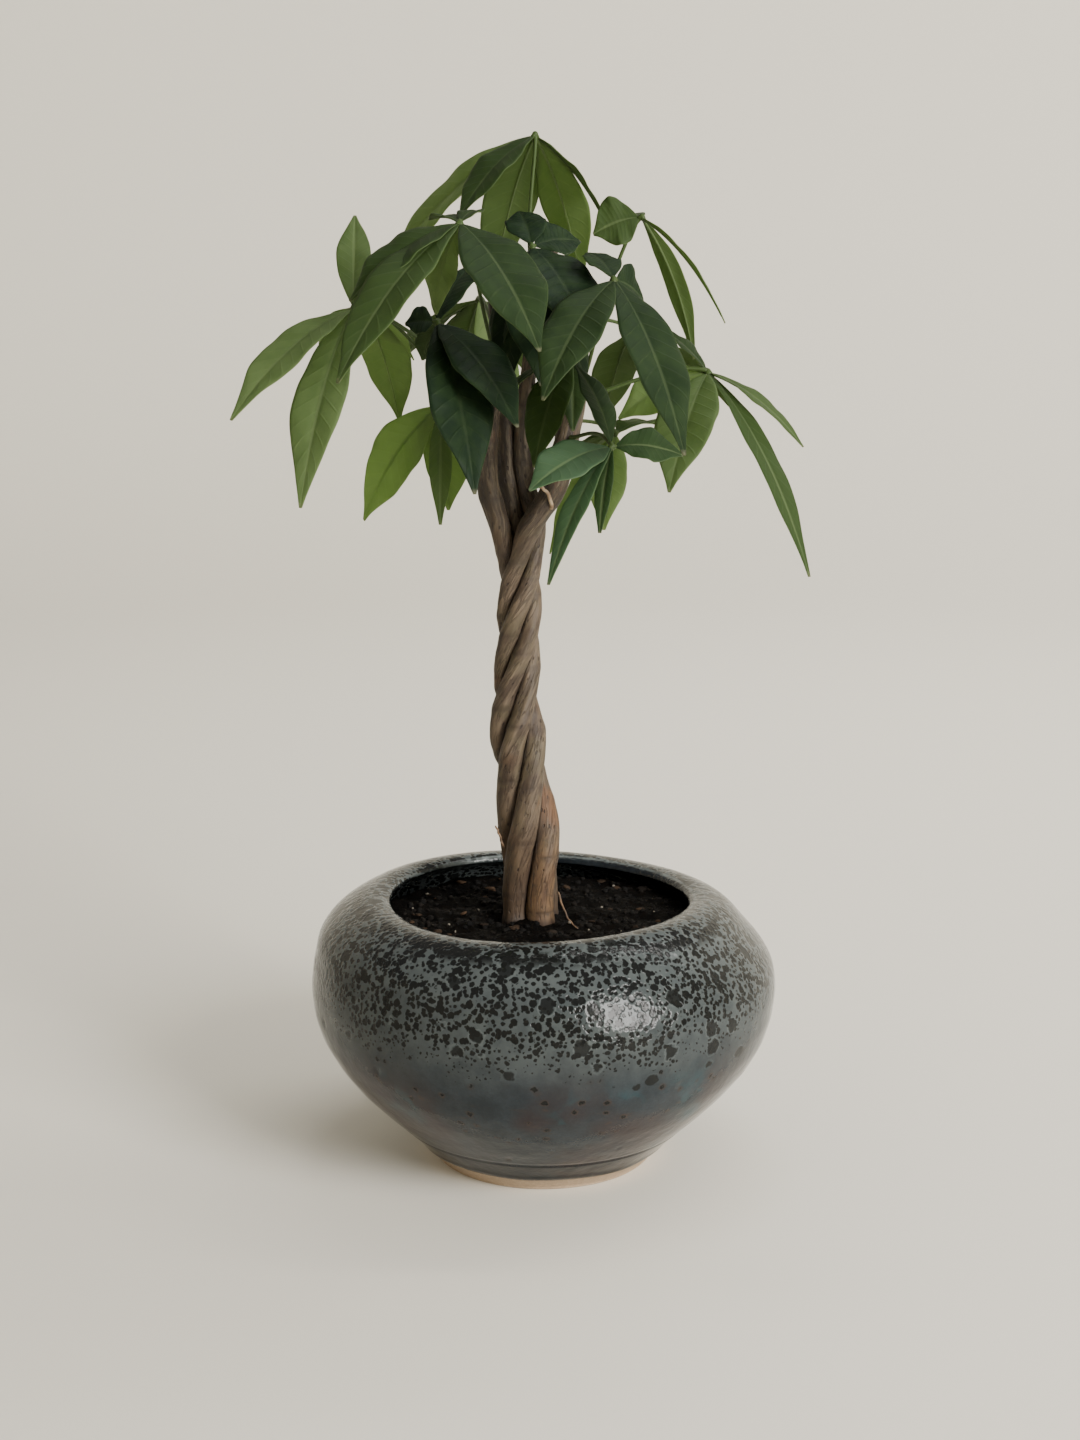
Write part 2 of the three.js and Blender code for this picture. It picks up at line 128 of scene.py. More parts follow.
class Wire:
    """An output of a node in a material. Arithmetic on wires adds Math nodes."""

    def __init__(self, finish, socket):
        self.finish = finish
        self.socket = socket

    def out(self, name):
        return Wire(self.finish, self.socket.node.outputs[name])

    def math(self, operation, *values):
        return self.finish.node("Math", {"operation": operation}, dict(enumerate(values)))

    def __add__(self, other):
        return self.math("ADD", self, other)

    def __sub__(self, other):
        return self.math("SUBTRACT", self, other)

    def __mul__(self, other):
        return self.math("MULTIPLY", self, other)

    def __truediv__(self, other):
        return self.math("DIVIDE", self, other)

    def __pow__(self, other):
        return self.math("POWER", self, other)

    def __rsub__(self, other):
        return self.math("SUBTRACT", other, self)

    def __rtruediv__(self, other):
        return self.math("DIVIDE", other, self)

    def __rpow__(self, other):
        return self.math("POWER", other, self)

    def __abs__(self):
        return self.math("ABSOLUTE", self)

    __radd__ = __add__
    __rmul__ = __mul__

    def or_more(self, other):
        return self.math("MAXIMUM", self, other)

    def rise(self, low, high):
        """0 below low and 1 above high, with a smooth step between. low may be the larger of the two."""
        settings = {"interpolation_type": "SMOOTHSTEP"}
        return self.finish.node("MapRange", settings, {"Value": self, "From Min": low, "From Max": high})


class Finish:
    """A material under construction. node() adds any node, and its first output comes back as a Wire."""

    def __init__(self, name):
        self.material = bpy.data.materials.new(name)
        self.material.use_nodes = True
        self.tree = self.material.node_tree
        self.tree.nodes.clear()

    def node(self, kind, settings, sockets):
        made = self.tree.nodes.new("ShaderNode" + kind)
        for name, value in settings.items():
            setattr(made, name, value)
        for name, value in sockets.items():
            if isinstance(value, Wire):
                self.tree.links.new(value.socket, made.inputs[name])
            else:
                made.inputs[name].default_value = value
        return Wire(self, made.outputs[0]) if made.outputs else None

    def place(self):
        """Where a point of the surface is, in millimetres."""
        here = self.node("TexCoord", {}, {}).out("Object")
        return self.node("VectorMath", {"operation": "SCALE"}, {0: here, "Scale": 1 / MM})

    def mark(self, name):
        return self.node("Attribute", {"attribute_name": name}, {}).out("Vector")

    def parts(self, vector):
        split = self.node("SeparateXYZ", {}, {0: vector})
        return split, split.out("Y"), split.out("Z")

    def joined(self, x, y, z):
        return self.node("CombineXYZ", {}, {"X": x, "Y": y, "Z": z})

    def cloud(self, at, size, detail=3, roughness=0.55):
        """Soft noise from 0 to 1 with lumps of this size."""
        return self.node("TexNoise", {}, {
            "Vector": at, "Scale": 1 / size, "Detail": detail, "Roughness": roughness})

    def cells(self, at, size):
        """The distance to the nearest of scattered points, which lie about this far apart."""
        return self.node("TexVoronoi", {}, {"Vector": at, "Scale": 1 / size})

    def shaken(self, at, size, amount):
        """The place, moved about by noise, so that what is drawn there gets an uneven outline."""
        colour = self.cloud(at, size, 2).out("Color")
        return self.node("VectorMath", {"operation": "MULTIPLY_ADD"}, {0: colour, 1: (amount,) * 3, 2: at})

    def blend(self, share, first, second):
        """From the first colour to the second, as share goes from 0 to 1."""
        first, second = [c if isinstance(c, Wire) else (*c, 1) for c in (first, second)]
        mixed = self.node("Mix", {"data_type": "RGBA"}, {0: share, 6: first, 7: second})
        return Wire(self, mixed.socket.node.outputs[2])

    def coated(self, colour, *coats):
        """A colour under coats of (share, colour), laid on one after the other."""
        for share, coat in coats:
            colour = self.blend(share, colour, coat)
        return colour

    def bump(self, height, depth, before=None):
        """A normal for relief of this depth in millimetres, on top of an earlier one."""
        sockets = {"Height": height, "Distance": depth * MM}
        if before:
            sockets["Normal"] = before
        return self.node("Bump", {}, sockets)

    def surface(self, colour, roughness, specular=0.5, relief=None):
        """A shader with this colour, roughness, strength of reflection and relief."""
        sockets = {"Base Color": colour, "Roughness": roughness, "Specular IOR Level": specular}
        if relief:
            sockets["Normal"] = relief
        return self.node("BsdfPrincipled", {}, sockets)

    def close(self, shader):
        self.node("OutputMaterial", {}, {"Surface": shader})
        return self.material


def bezier(corners, t):
    """The points at each t on a Bezier curve with these corners."""
    if len(corners) == 1:
        return np.array(corners[0], float)
    t = np.asarray(t, float)
    before, after = bezier(corners[:-1], t), bezier(corners[1:], t)
    return before + t[..., None] * (after - before)


def sampled(runs):
    """The points along (corners, spacing) runs of Bezier curves, each starting where the last one ended."""
    points = []
    for corners, spacing in runs:
        length = sum(math.dist(a, b) for a, b in zip(corners, corners[1:]))
        steps = max(1, round(length / spacing))
        points.extend(bezier(corners, np.arange(steps) / steps))
    return np.array(points + [runs[-1][0][-1]])


def hand_thrown(points):
    """The irregularity of handwork: a little out of round, a full left shoulder, a rim out of level."""
    x, y, z = points.T
    turn = np.arctan2(y, x)
    up = np.minimum(1, z / BOWL_HEIGHT)
    swell = 1 + OUT_OF_ROUND * up * (np.cos(2 * turn + OVAL_TURN) + THREE_SIDED * np.sin(3 * turn))
    shoulder = np.exp(-(((z - SHOULDER_HEIGHT) / SHOULDER_SPREAD) ** 2))
    level = RIM_WAVE * up**2 * np.cos(2 * turn + RIM_TURN)
    return np.stack([x * swell - SHOULDER_SHIFT * shoulder, y * swell, z + level], axis=1)


def inside_of_bowl(clearance, spacing):
    """The runs down the bowl's inner face, from the mouth to the floor, shrunk by a clearance."""
    belly = BELLY_RADIUS - WALL - clearance
    mouth = (MOUTH_RADIUS, BOWL_HEIGHT - LIP / 2)
    return [
        ([mouth, (MOUTH_RADIUS + 2 * WALL, BOWL_HEIGHT - WALL - clearance),
          (belly, BELLY_HEIGHT + SHOULDER_HANDLE - WALL / 2), (belly, BELLY_HEIGHT)], spacing),
        ([(belly, BELLY_HEIGHT), (belly, BELLY_HEIGHT - BELLY_HANDLE + WALL / 2),
          (FOOT_RADIUS + CONE_HANDLE[0] - WALL / 2, FLOOR + CONE_HANDLE[1] - WALL),
          (FOOT_RADIUS - WALL, FLOOR + clearance)], spacing),
        ([(FOOT_RADIUS - WALL, FLOOR + clearance), (0, FLOOR + clearance)], HIDDEN_SPACING),
    ]


def full_turn(sides):
    """The angles of this many even steps once round."""
    return np.arange(sides) * 2 * math.pi / sides


def ring(x, y, out, angles, z):
    """Points round (x, y) at height z, as far out as out says at each angle."""
    return np.stack([x + out * np.cos(angles), y + out * np.sin(angles), np.full(len(angles), z)], axis=1)


def skin(rings):
    """Points and faces of a closed skin over rings of points that follow each other."""
    count, sides, _ = rings.shape
    index = np.arange(count * sides).reshape(count, sides)
    after = np.roll(index, -1, axis=1)
    quads = np.stack([index[:-1], after[:-1], after[1:], index[1:]], axis=-1).reshape(-1, 4)
    return rings.reshape(-1, 3), quads.tolist() + [index[0][::-1].tolist(), index[-1].tolist()]


def revolved(profile, sides):
    """Points and faces of the closed body that a profile from axis to axis sweeps out."""
    turn = full_turn(sides)
    points, faces = skin(np.array([ring(0, 0, radius, turn, height) for radius, height in profile[1:-1]]))
    low, high = faces[-2][::-1], faces[-1]
    start, end = len(points), len(points) + 1
    faces[-2:] = [[start, b, a] for a, b in zip(low, low[1:] + low[:1])]
    faces += [[end, a, b] for a, b in zip(high, high[1:] + high[:1])]
    return np.concatenate([points, [(0, 0, profile[0][1]), (0, 0, profile[-1][1])]]), faces


def piece(name, points, faces, materials, marks=None, chosen=None):
    """A smooth mesh object from points in millimetres. marks are its named attributes, with three numbers
    for each point, and chosen says which of the materials each face has."""
    mesh = bpy.data.meshes.new(name)
    mesh.from_pydata((np.asarray(points, float) * MM).tolist(), [], faces)
    mesh.shade_smooth()
    for material in materials:
        mesh.materials.append(material)
    for mark, values in (marks or {}).items():
        layer = mesh.attributes.new(mark, "FLOAT_VECTOR", "POINT")
        layer.data.foreach_set("vector", np.asarray(values, np.float32).ravel())
    if chosen is not None:
        mesh.polygons.foreach_set("material_index", chosen)
    made = bpy.data.objects.new(name, mesh)
    bpy.context.scene.collection.objects.link(made)
    return made


def bowl_profile():
    neck = FOOT_RADIUS + FOOT_FLARE
    return sampled([
        ([(0, 0), (FOOT_RADIUS - FOOT_EDGE, 0)], HIDDEN_SPACING),
        ([(FOOT_RADIUS - FOOT_EDGE, 0), (FOOT_RADIUS, 0), (FOOT_RADIUS, FOOT_EDGE)], EDGE_SPACING),
        ([(FOOT_RADIUS, FOOT_EDGE), (neck, FOOT_BAND)], BAND_SPACING),
        ([(neck, FOOT_BAND), (neck + CONE_HANDLE[0], FOOT_BAND + CONE_HANDLE[1]),
          (BELLY_RADIUS, BELLY_HEIGHT - BELLY_HANDLE), (BELLY_RADIUS, BELLY_HEIGHT)], SKIN_SPACING),
        ([(BELLY_RADIUS, BELLY_HEIGHT), (BELLY_RADIUS, BELLY_HEIGHT + SHOULDER_HANDLE),
          (MOUTH_RADIUS + LIP + RIM_HANDLE, BOWL_HEIGHT), (MOUTH_RADIUS + LIP, BOWL_HEIGHT)], SKIN_SPACING),
        ([(MOUTH_RADIUS + LIP, BOWL_HEIGHT), (MOUTH_RADIUS, BOWL_HEIGHT),
          (MOUTH_RADIUS, BOWL_HEIGHT - LIP / 2)], LIP_SPACING),
        *inside_of_bowl(0, INNER_SPACING),
    ])


def glazed(points, chance):
    """The relief of the glaze on the outside: its thick edge over the foot, throwing rings and pits."""
    x, y, z = points.T
    radius = np.hypot(x, y)
    turn = np.arctan2(y, x)
    shown = (radius > MOUTH_RADIUS + 1) | (z < FOOT_BAND + 8) & (radius > FOOT_RADIUS - 1)
    line = GLAZE_LINE + sum(size * np.sin(count * turn + start) for size, count, start in LINE_WAVES)
    over = np.clip((z - line) / GLAZE_EDGE + 0.5, 0, 1)
    roll = np.exp(-(((z - line) / ROLL_HEIGHT - 1) ** 2))
    proud = over * GLAZE_THICKNESS * (GLAZE_THIN + GLAZE_ROLL * roll)
    pitch, depth = THROWING_RINGS
    low, high = RINGS_RISE
    spiral = np.sin(2 * math.pi * z / pitch + 1.5 * np.sin(turn))
    proud += depth * spiral * np.clip((z - low) / (high - low), 0, 1)
    size, depth = UNDULATION
    proud += depth * np.array([noise.noise(Vector(p) / size) for p in points])
    for _ in range(PITS):
        turned = chance.uniform(-math.pi, math.pi)
        height = chance.uniform(*PIT_HEIGHTS)
        size = chance.uniform(*PIT_SIZES)
        beside = ((turn - turned + math.pi) % (2 * math.pi) - math.pi) * BELLY_RADIUS
        proud -= PIT_DEPTH * np.exp(-((np.hypot(beside, z - height) / size) ** 4))
    proud *= shown * np.minimum(1, z)
    scale = 1 + proud / np.maximum(radius, 1)
    return np.stack([x * scale, y * scale, z], axis=1)


def shade(colour, share):
    """A colour made darker, or paler with a share above 1."""
    return [c * share for c in colour]


def speckled_glaze():
    finish = Finish("speckled_glaze")
    at = finish.place()
    x, y, z = finish.parts(at)
    radius = (x * x + y * y) ** 0.5
    drift = finish.cloud(at, 15)
    crowd = (z + (drift - 0.5) * 24).rise(*CROWDED)
    edgy = finish.shaken(at, 1.3, 1.1)
    uneven = (finish.cloud(at, 4.5, 3) - 0.5) * 0.34

    small = finish.cells(edgy, SMALL_SPOTS) - crowd * 0.46 - uneven
    coarse = finish.cells(edgy, COARSE_SPOTS) - crowd * 0.36 - uneven
    disc = finish.cells(finish.shaken(at, 2.5, 2.2), ROUND_SPOTS) - 0.24 - uneven * 0.3
    disc = disc + z.rise(*ONLY_SMALL)
    halo = (1 - abs(disc - 0.04) / 0.04).rise(0, 1) * crowd
    rim_patch = finish.cells(finish.shaken(finish.joined(x, y, z * 2.2), 3, 3), RIM_PATCHES)
    rim_patch = rim_patch.rise(0.56, 0.50) * radius.rise(*PATCH_REACH)
    rim_patch = rim_patch * z.rise(*PATCHES_BOTTOM) * z.rise(*PATCHES_TOP)
    pit = finish.cells(finish.shaken(at, 1.5, 1.6), PIT_SPOTS) - (finish.cloud(at, 11, 2) - 0.5) * 0.20
    singed = pit.rise(0.30, 0.13) * z.rise(*SINGED_PITS)
    dark = small.rise(0.06, -0.05).or_more(coarse.rise(0.03, -0.03)).or_more(disc.rise(0.02, -0.02) * 0.9)
    dark = dark.or_more(rim_patch).or_more(pit.rise(0.155, 0.115))

    cloudy = finish.cloud(at, 9, 4, 0.65)
    speckle = finish.cloud(at, 0.7, 3, 0.7).rise(0.35, 0.75)
    stain = finish.cloud(at, 31, 2).rise(0.46, 0.60)
    sheen = finish.cloud(finish.shaken(at, 9, 12), 27, 3).rise(0.60, 0.70)
    veil = (z + (drift - 0.5) * 16).rise(*GREY_VEIL) * (cloudy.rise(0.2, 0.7) * 0.6 + 0.4)
    smear = finish.cloud(finish.joined(x * 0.6, y * 0.6, z * 2), 5, 4, 0.7).rise(0.55, 0.75)
    inner = radius.rise(MOUTH_RADIUS + 1.2, MOUTH_RADIUS - 0.6) * z.rise(FLOOR, FLOOR + 1)
    patchy = finish.blend(finish.cloud(edgy, 4, 4).rise(0.48, 0.66) * 0.5, INNER_DARK, SLATE)
    lip = (1 - abs(radius - MOUTH_RADIUS - 1.0) / 0.9).rise(0, 0.8) * z.rise(*LIP_SHEEN)
    line = z + (finish.cloud(at, 9) - 0.5) * 1.1
    bare = line.rise(GLAZE_LINE + 0.35, GLAZE_LINE - 0.1)
    scorched = (1 - abs(line - GLAZE_LINE - 0.8) / 1.1).rise(0, 1)
    grog = finish.cloud(at, 1.1, 4, 0.7)
    clay = finish.blend(grog.rise(0.35, 0.75), shade(BARE_CLAY, 0.78), BARE_CLAY)
    colour = finish.coated(
        SLATE,
        (cloudy.rise(0.3, 0.72), shade(SLATE, 1.6)),
        (speckle * 0.35, shade(SLATE, 0.62)),
        (stain * z.rise(*PLUM_CLOUDS), PLUM),
        (sheen * z.rise(*TEAL_SHEEN) * 0.7, TEAL),
        (veil, MESH_GREY),
        (z.rise(*PALE_SHOULDER) * 0.4, shade(MESH_GREY, 1.5)),
        (halo * 0.6, shade(MESH_GREY, 1.5)),
        (singed * 0.6, RUST),
        (smear * z.rise(*RUST_SMEARS) * 0.5, RUST),
        (z.rise(*DARK_FOOT) * 0.55, CHARCOAL),
        (dark, CHARCOAL),
        (inner, patchy),
        (lip * finish.cloud(at, 6).rise(0.3, 0.6) * 0.55, RIM_PALE),
        (scorched * 0.85, CHARCOAL),
        (bare, clay),
    )

    dent = small.rise(0.22, -0.18).or_more(coarse.rise(0.20, -0.16)).or_more(disc.rise(0.06, -0.06))
    relief = finish.bump(1 - dent * crowd, 0.07)
    relief = finish.bump(finish.cloud(at, 5, 3, 0.5), 0.20, relief)
    relief = finish.bump(grog * bare, 0.3, relief)
    polish = 0.04 + dark * 0.08 + cloudy * 0.05
    return finish.close(finish.surface(colour, polish + bare * 0.65, 0.18, relief))


chance = np.random.default_rng(11)
points, faces = revolved(bowl_profile(), BOWL_SIDES)
bowl = piece("stoneware_bowl", hand_thrown(glazed(points, chance)), faces, [speckled_glaze()])
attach(bowl, "root")
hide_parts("bowl")

# The soil is loose, damp potting mix that fills the bowl to just under its rim. Its crumbs, its white
# perlite and its chips of bark lie loose on it, pressed in by watering.

SOIL_LEVEL = 74.4
SOIL_MOUND = 1.2
SOIL_SIDES = 150
SOIL_SPACING = 0.7
SOIL_EDGE_SPACING = 1
SOIL_WALL_SPACING = 4
SOIL_CLEARANCE = 0.3
SOIL_REACH = 2
SOIL_EDGE = (1, 2)
UNDER_SHOULDER = (8, 3)
SOIL_SWELL = 0.5
CRUMBLE = (5, 1.1)
TRUNK_FOOT = (-4.2, 0, 11)
TRUNK_HOLLOW = (3, 1.2)
GRAIN_DENTS = 0.168
GRAIN_WIDTHS = (0.6, 0.95)
GRAIN_TILT = 0.5

SOIL_BLACK = (0.0014, 0.0012, 0.0010)
SOIL_BROWN = (0.0062, 0.0042, 0.0027)
PERLITE_WHITE = (0.30, 0.27, 0.22)
CHIP_BROWN = (0.060, 0.034, 0.018)


def soil_height(x, y):
    """How high the soil lies, mounded towards the trunk and lumpy."""
    away = math.hypot(x, y) / MOUTH_RADIUS
    mound = SOIL_MOUND * max(0, 1 - away)
    swell = SOIL_SWELL * (math.sin(x / 3 + 1) * math.cos(y / 4) + math.sin(y / 2))
    size, depth = CRUMBLE
    crumbly = depth * noise.fractal(Vector((x, y, 3)) / size, 1, 2, 4)
    trunk_x, trunk_y, trunk_radius = TRUNK_FOOT
    width, depth = TRUNK_HOLLOW
    beyond = math.hypot(x - trunk_x, y - trunk_y) - trunk_radius - 1
    return SOIL_LEVEL + mound + swell + crumbly - depth * math.exp(-((beyond / width) ** 2))


def soil_body():
    wide = MOUTH_RADIUS + SOIL_REACH
    edge = (wide + SOIL_EDGE[0], SOIL_LEVEL - SOIL_EDGE[1])
    shoulder = (wide + UNDER_SHOULDER[0], SOIL_LEVEL - UNDER_SHOULDER[1])
    (belly_run, spacing), *lower = inside_of_bowl(SOIL_CLEARANCE, SOIL_WALL_SPACING)
    profile = sampled([
        ([(0, SOIL_LEVEL), (wide, SOIL_LEVEL)], SOIL_SPACING),
        ([(wide, SOIL_LEVEL), edge], SOIL_EDGE_SPACING),
        ([edge, shoulder, *belly_run[2:]], spacing),
        *lower,
    ])
    body, skins = revolved(profile[::-1], SOIL_SIDES)
    body = hand_thrown(body)
    top = (body[:, 2] > SOIL_LEVEL - 1.5) & (np.hypot(body[:, 0], body[:, 1]) < wide + 3)
    body[top, 2] = [soil_height(x, y) for x, y in body[top, :2]]
    return body, skins


def ball_form(fineness):
    """The points and faces of a ball of radius 1, to be dented or drawn out."""
    ball = bmesh.new()
    bmesh.ops.create_icosphere(ball, subdivisions=fineness, radius=1)
    form = np.array([v.co for v in ball.verts]), [[v.index for v in f.verts] for f in ball.faces]
    ball.free()
    return form


def grains(places, sizes, flat, tints, chance):
    """Dented, turned grains of these sizes at these places, in one mesh with a tint for each."""
    form, skins = ball_form(2)
    points, faces, marks = [], [], []
    for place, size, tint in zip(places, sizes, tints):
        dents = 1 + GRAIN_DENTS * chance.standard_normal((len(form), 1))
        grain = form * dents * (1, chance.uniform(*GRAIN_WIDTHS), flat)
        turn = chance.uniform(0, 2 * math.pi)
        tilt = chance.uniform(-GRAIN_TILT, GRAIN_TILT)
        turned = np.array(Euler((tilt, 0, turn)).to_matrix())
        faces += [[i + len(form) * len(points) for i in f] for f in skins]
        points.append(grain @ turned.T * size / 2 + place)
        marks.append(np.tile([tint, chance.random(), 0], (len(form), 1)))
    return np.concatenate(points), faces, np.concatenate(marks)


def strewn(count, chance):
    """Places on the soil, clear of the trunk and of the bowl's wall."""
    places = []
    while len(places) < count:
        x, y = chance.uniform(-1, 1, 2) * (MOUTH_RADIUS + 1)
        from_trunk = math.hypot(x - TRUNK_FOOT[0], y - TRUNK_FOOT[1])
        if math.hypot(x + SHOULDER_SHIFT / 2, y) < MOUTH_RADIUS and from_trunk > TRUNK_FOOT[2] - 2:
            places.append((x, y, soil_height(x, y)))
    return np.array(places)


def damp_soil():
    finish = Finish("damp_soil")
    at = finish.place()
    brown = finish.cloud(at, 1.6, 5, 0.7).rise(0.42, 0.75)
    fibre = finish.cloud(finish.shaken(at, 2, 4), 0.8, 4, 0.8)
    colour = finish.blend(brown, SOIL_BLACK, SOIL_BROWN)
    return finish.close(finish.surface(colour, 0.6 + brown * 0.35, 0.05, finish.bump(fibre, 0.6)))


def loose_grain(name, pale, deep):
    finish = Finish(name)
    at = finish.place()
    tint, _, _ = finish.parts(finish.mark("grain"))
    mottle = finish.cloud(at, 0.9, 4, 0.7)
    colour = finish.coated(deep, (tint, pale), (mottle.rise(0.4, 0.75) * 0.5, deep))
    return finish.close(finish.surface(colour, 0.8, 0.15, finish.bump(mottle, 0.25)))


points, faces = soil_body()
soil = piece("soil_bed", points, faces, [damp_soil()])
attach(soil, "root")
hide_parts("soil")

# Each kind of loose grain: how many, how far it is lifted, its smallest and largest size, how rare large
# ones are, how flat it is, how pale the dullest is, how rare pale ones are, its finish and its two colours.
LOOSE = {
    "soil_crumbs": (950, 0, 0.7, 2.7, 2.2, 0.75, 0, 2, "soil_crumb", SOIL_BROWN, SOIL_BLACK),
    "perlite": (24, 0.2, 0.4, 1.4, 2, 0.8, 0.4, 1, "perlite_grain", PERLITE_WHITE, SOIL_BROWN),
    "bark_chips": (44, 0.3, 1.4, 4.8, 1.6, 0.3, 0, 1, "bark_chip", CHIP_BROWN, SOIL_BROWN),
}
for name, (count, lift, small, large, rarity, flat, dull, fading, *finish) in LOOSE.items():
    spread = strewn(count, chance) + (0, 0, lift)
    sizes = small + (large - small) * chance.random(count) ** rarity
    tints = dull + (1 - dull) * chance.random(count) ** fading
    points, faces, marks = grains(spread, sizes, flat, tints, chance)
    loose = piece(name, points, faces, [loose_grain(*finish)], {"grain": marks})
    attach(loose, "root")

# The trunk is four young stems, rooted side by side and braided while they were soft, so that each has
# grown tight against the others. Above the split their tops part, and the right one forks.

ROOT_HEIGHT = 52
TWIST_FOOT = 80
TWIST_HEAD = 198
TWIST_TURN = 482
TWIST_TIGHTENING = 1.53
SPLIT = 186
BRAID_RADIUS = 4.0
STRAND_RADIUS = 2.95
TRUNK = [
    [52, -4.2, 1.28], [80, -4.2, 1.34], [103, -4.6, 1.38], [118, -6.3, 1.2], [130, -7.8, 1.24],
    [145, -8.4, 1.06], [165, -7.4, 0.98], [186, -7.0, 0.96],
]
STEMS = {
    "left": {
        "place": 174, "warmth": 0.35,
        "top": [[195, -13.0, -1.2, 3.1], [205, -15.8, -3.2, 3.0], [216, -16.8, -4.6, 3.0],
                [226, -15.8, -5.2, 2.6], [234, -13.8, -5.2, 1.3]],
    },
    "left_inner": {
        "place": 84, "warmth": 0.1,
        "top": [[196, -8.4, 4.2, 2.9], [210, -10.8, 4.0, 2.6], [226, -11.6, 4.6, 2.4],
                [244, -13.2, 5.2, 2.0], [263, -14.4, 3.6, 1.5]],
    },
    "middle": {
        "place": -6, "warmth": 0.8,
        "top": [[196, -2.4, 2.8, 2.8], [210, -5.7, 3.4, 2.8], [228, -5.8, 3.0, 2.4],
                [252, -2.6, 2.0, 1.9], [278, 3.0, 4.4, 1.5]],
    },
    "right": {
        "place": -96, "warmth": 0.2,
        "top": [[196, -3.8, -4.6, 3.5], [206, 2.4, -4.8, 3.8], [216, 5.4, -4.8, 3.5],
                [232, 9.2, -4.2, 2.8], [252, 11.0, -4.6, 1.7]],
        "fork": [[206, 3.2, -3.6, 1.5], [214, 5.4, 1.2, 2.5], [224, 6.0, 6.2, 2.5],
                 [242, 7.4, 10.4, 2.1], [260, 8.6, 12.0, 1.6]],
    },
}
SPLIT_LEAD = 5
BARK_SIDES = 40
BARK_STEP = 0.9
BARK_GAP = 0.05
BARK_SOFTNESS = 0.18
BARK_LEAST = 0.3
RIDGE_HEIGHT = 0.32
RIDGE_ACROSS = 0.9
RIDGE_ALONG = 0.05
LUMP_HEIGHT = 0.25
LUMP_ACROSS = 0.2
LUMP_ALONG = 0.11
NODE_HEIGHT = 0.22
NODE_SPACING = 17
NODE_SHARPNESS = 8
SCAR_SHARPNESS = 30
ROOT_FLARE = 0.5
FLARE_RUN = 2
TOP_SWELL = 0.3
SWELL_RUN = 10
STEM_ROUNDING = 2.2
FORK_ROUNDING = 2

BARK_GREY = (0.128, 0.094, 0.062)
BARK_DEEP = (0.042, 0.028, 0.018)
BARK_OLIVE = (0.082, 0.068, 0.037)
BARK_RED = (0.080, 0.040, 0.020)
BARK_TAN = (0.165, 0.098, 0.047)
BARK_SCAR_DIRT_AND_SHADE = (0.012, 0.007, 0.005)
SHADED_BARK = (0.080, 0.062, 0.038)
SHADED_DEEP = (0.020, 0.015, 0.010)
WOUND = (5.0, -2.5, 111.0)
WOUND_RED = (0.115, 0.054, 0.022)
LOW_BARK = (112, 86)
HIGH_BARK = (182, 206)
FOOT_STAIN_AND_SHADE = (101, 86)
WET_FOOT = (79.5, 76)


def through(rows, z):
    """A smooth curve through rows that each start with a height: the other numbers, at height z."""
    rows = np.asarray(rows, float)
    last = len(rows) - 1
    i = int(np.clip(np.searchsorted(rows[:, 0], z) - 1, 0, last - 1))
    span = rows[i + 1, 0] - rows[i, 0]
    t = np.clip((z - rows[i, 0]) / span, 0, 1)

    def slope(k):
        before, after = rows[max(k - 1, 0)], rows[min(k + 1, last)]
        return span * (after[1:] - before[1:]) / (after[0] - before[0])

    return ((1 + 2 * t) * (1 - t) ** 2 * rows[i, 1:] + t * (1 - t) ** 2 * slope(i)
            + t * t * (3 - 2 * t) * rows[i + 1, 1:] + t * t * (t - 1) * slope(i + 1))


def twist(z):
    """How far the trunk has turned by height z."""
    along = min(1, max(0, (z - TWIST_FOOT) / (TWIST_HEAD - TWIST_FOOT)))
    return math.radians(TWIST_TURN) * along**TWIST_TIGHTENING


def in_trunk(stem, z):
    turn = math.radians(stem["place"]) + twist(z) - twist(SPLIT)
    x, girth = through(TRUNK, z)
    return [x + BRAID_RADIUS * girth * math.cos(turn), BRAID_RADIUS * girth * math.sin(turn),
            STRAND_RADIUS * girth]


def stem_at(stem, z):
    """The middle line and radius of a stem at height z."""
    if z <= SPLIT:
        return in_trunk(stem, z)
    return through([[h, *in_trunk(stem, h)] for h in (SPLIT - SPLIT_LEAD, SPLIT)] + stem["top"], z)


def reach(stem, z, angles):
    """How far a stem reaches in each direction at a height, pressed flat where a neighbour leans on it."""
    x, y, radius = stem_at(stem, z)
    out = np.full(len(angles), radius)
    for other in STEMS.values():
        tip = other["top"][-1][0]
        if other is stem or z > tip + SPLIT_LEAD:
            continue
        other_x, other_y, other_radius = stem_at(other, min(z, tip))
        apart = math.hypot(other_x - x, other_y - y)
        facing = ((other_x - x) * np.cos(angles) + (other_y - y) * np.sin(angles)) / apart
        wall = apart / 2 + (radius**2 - other_radius**2) / (2 * apart) - BARK_GAP
        limit = np.where(facing > 0.01, wall / np.maximum(facing, 0.01), np.inf)
        softer = np.clip(0.5 + (limit - out) / (2 * BARK_SOFTNESS), 0, 1)
        out = np.where(softer < 1, np.minimum(out, limit) - BARK_SOFTNESS * softer * (1 - softer), out)
    return np.maximum(BARK_LEAST, out)


def node_at(along, seed):
    """1 at the ring where an old leaf grew, and 0 half way to the next one."""
    return 0.5 + 0.5 * math.cos(2 * math.pi * (along / NODE_SPACING + seed))


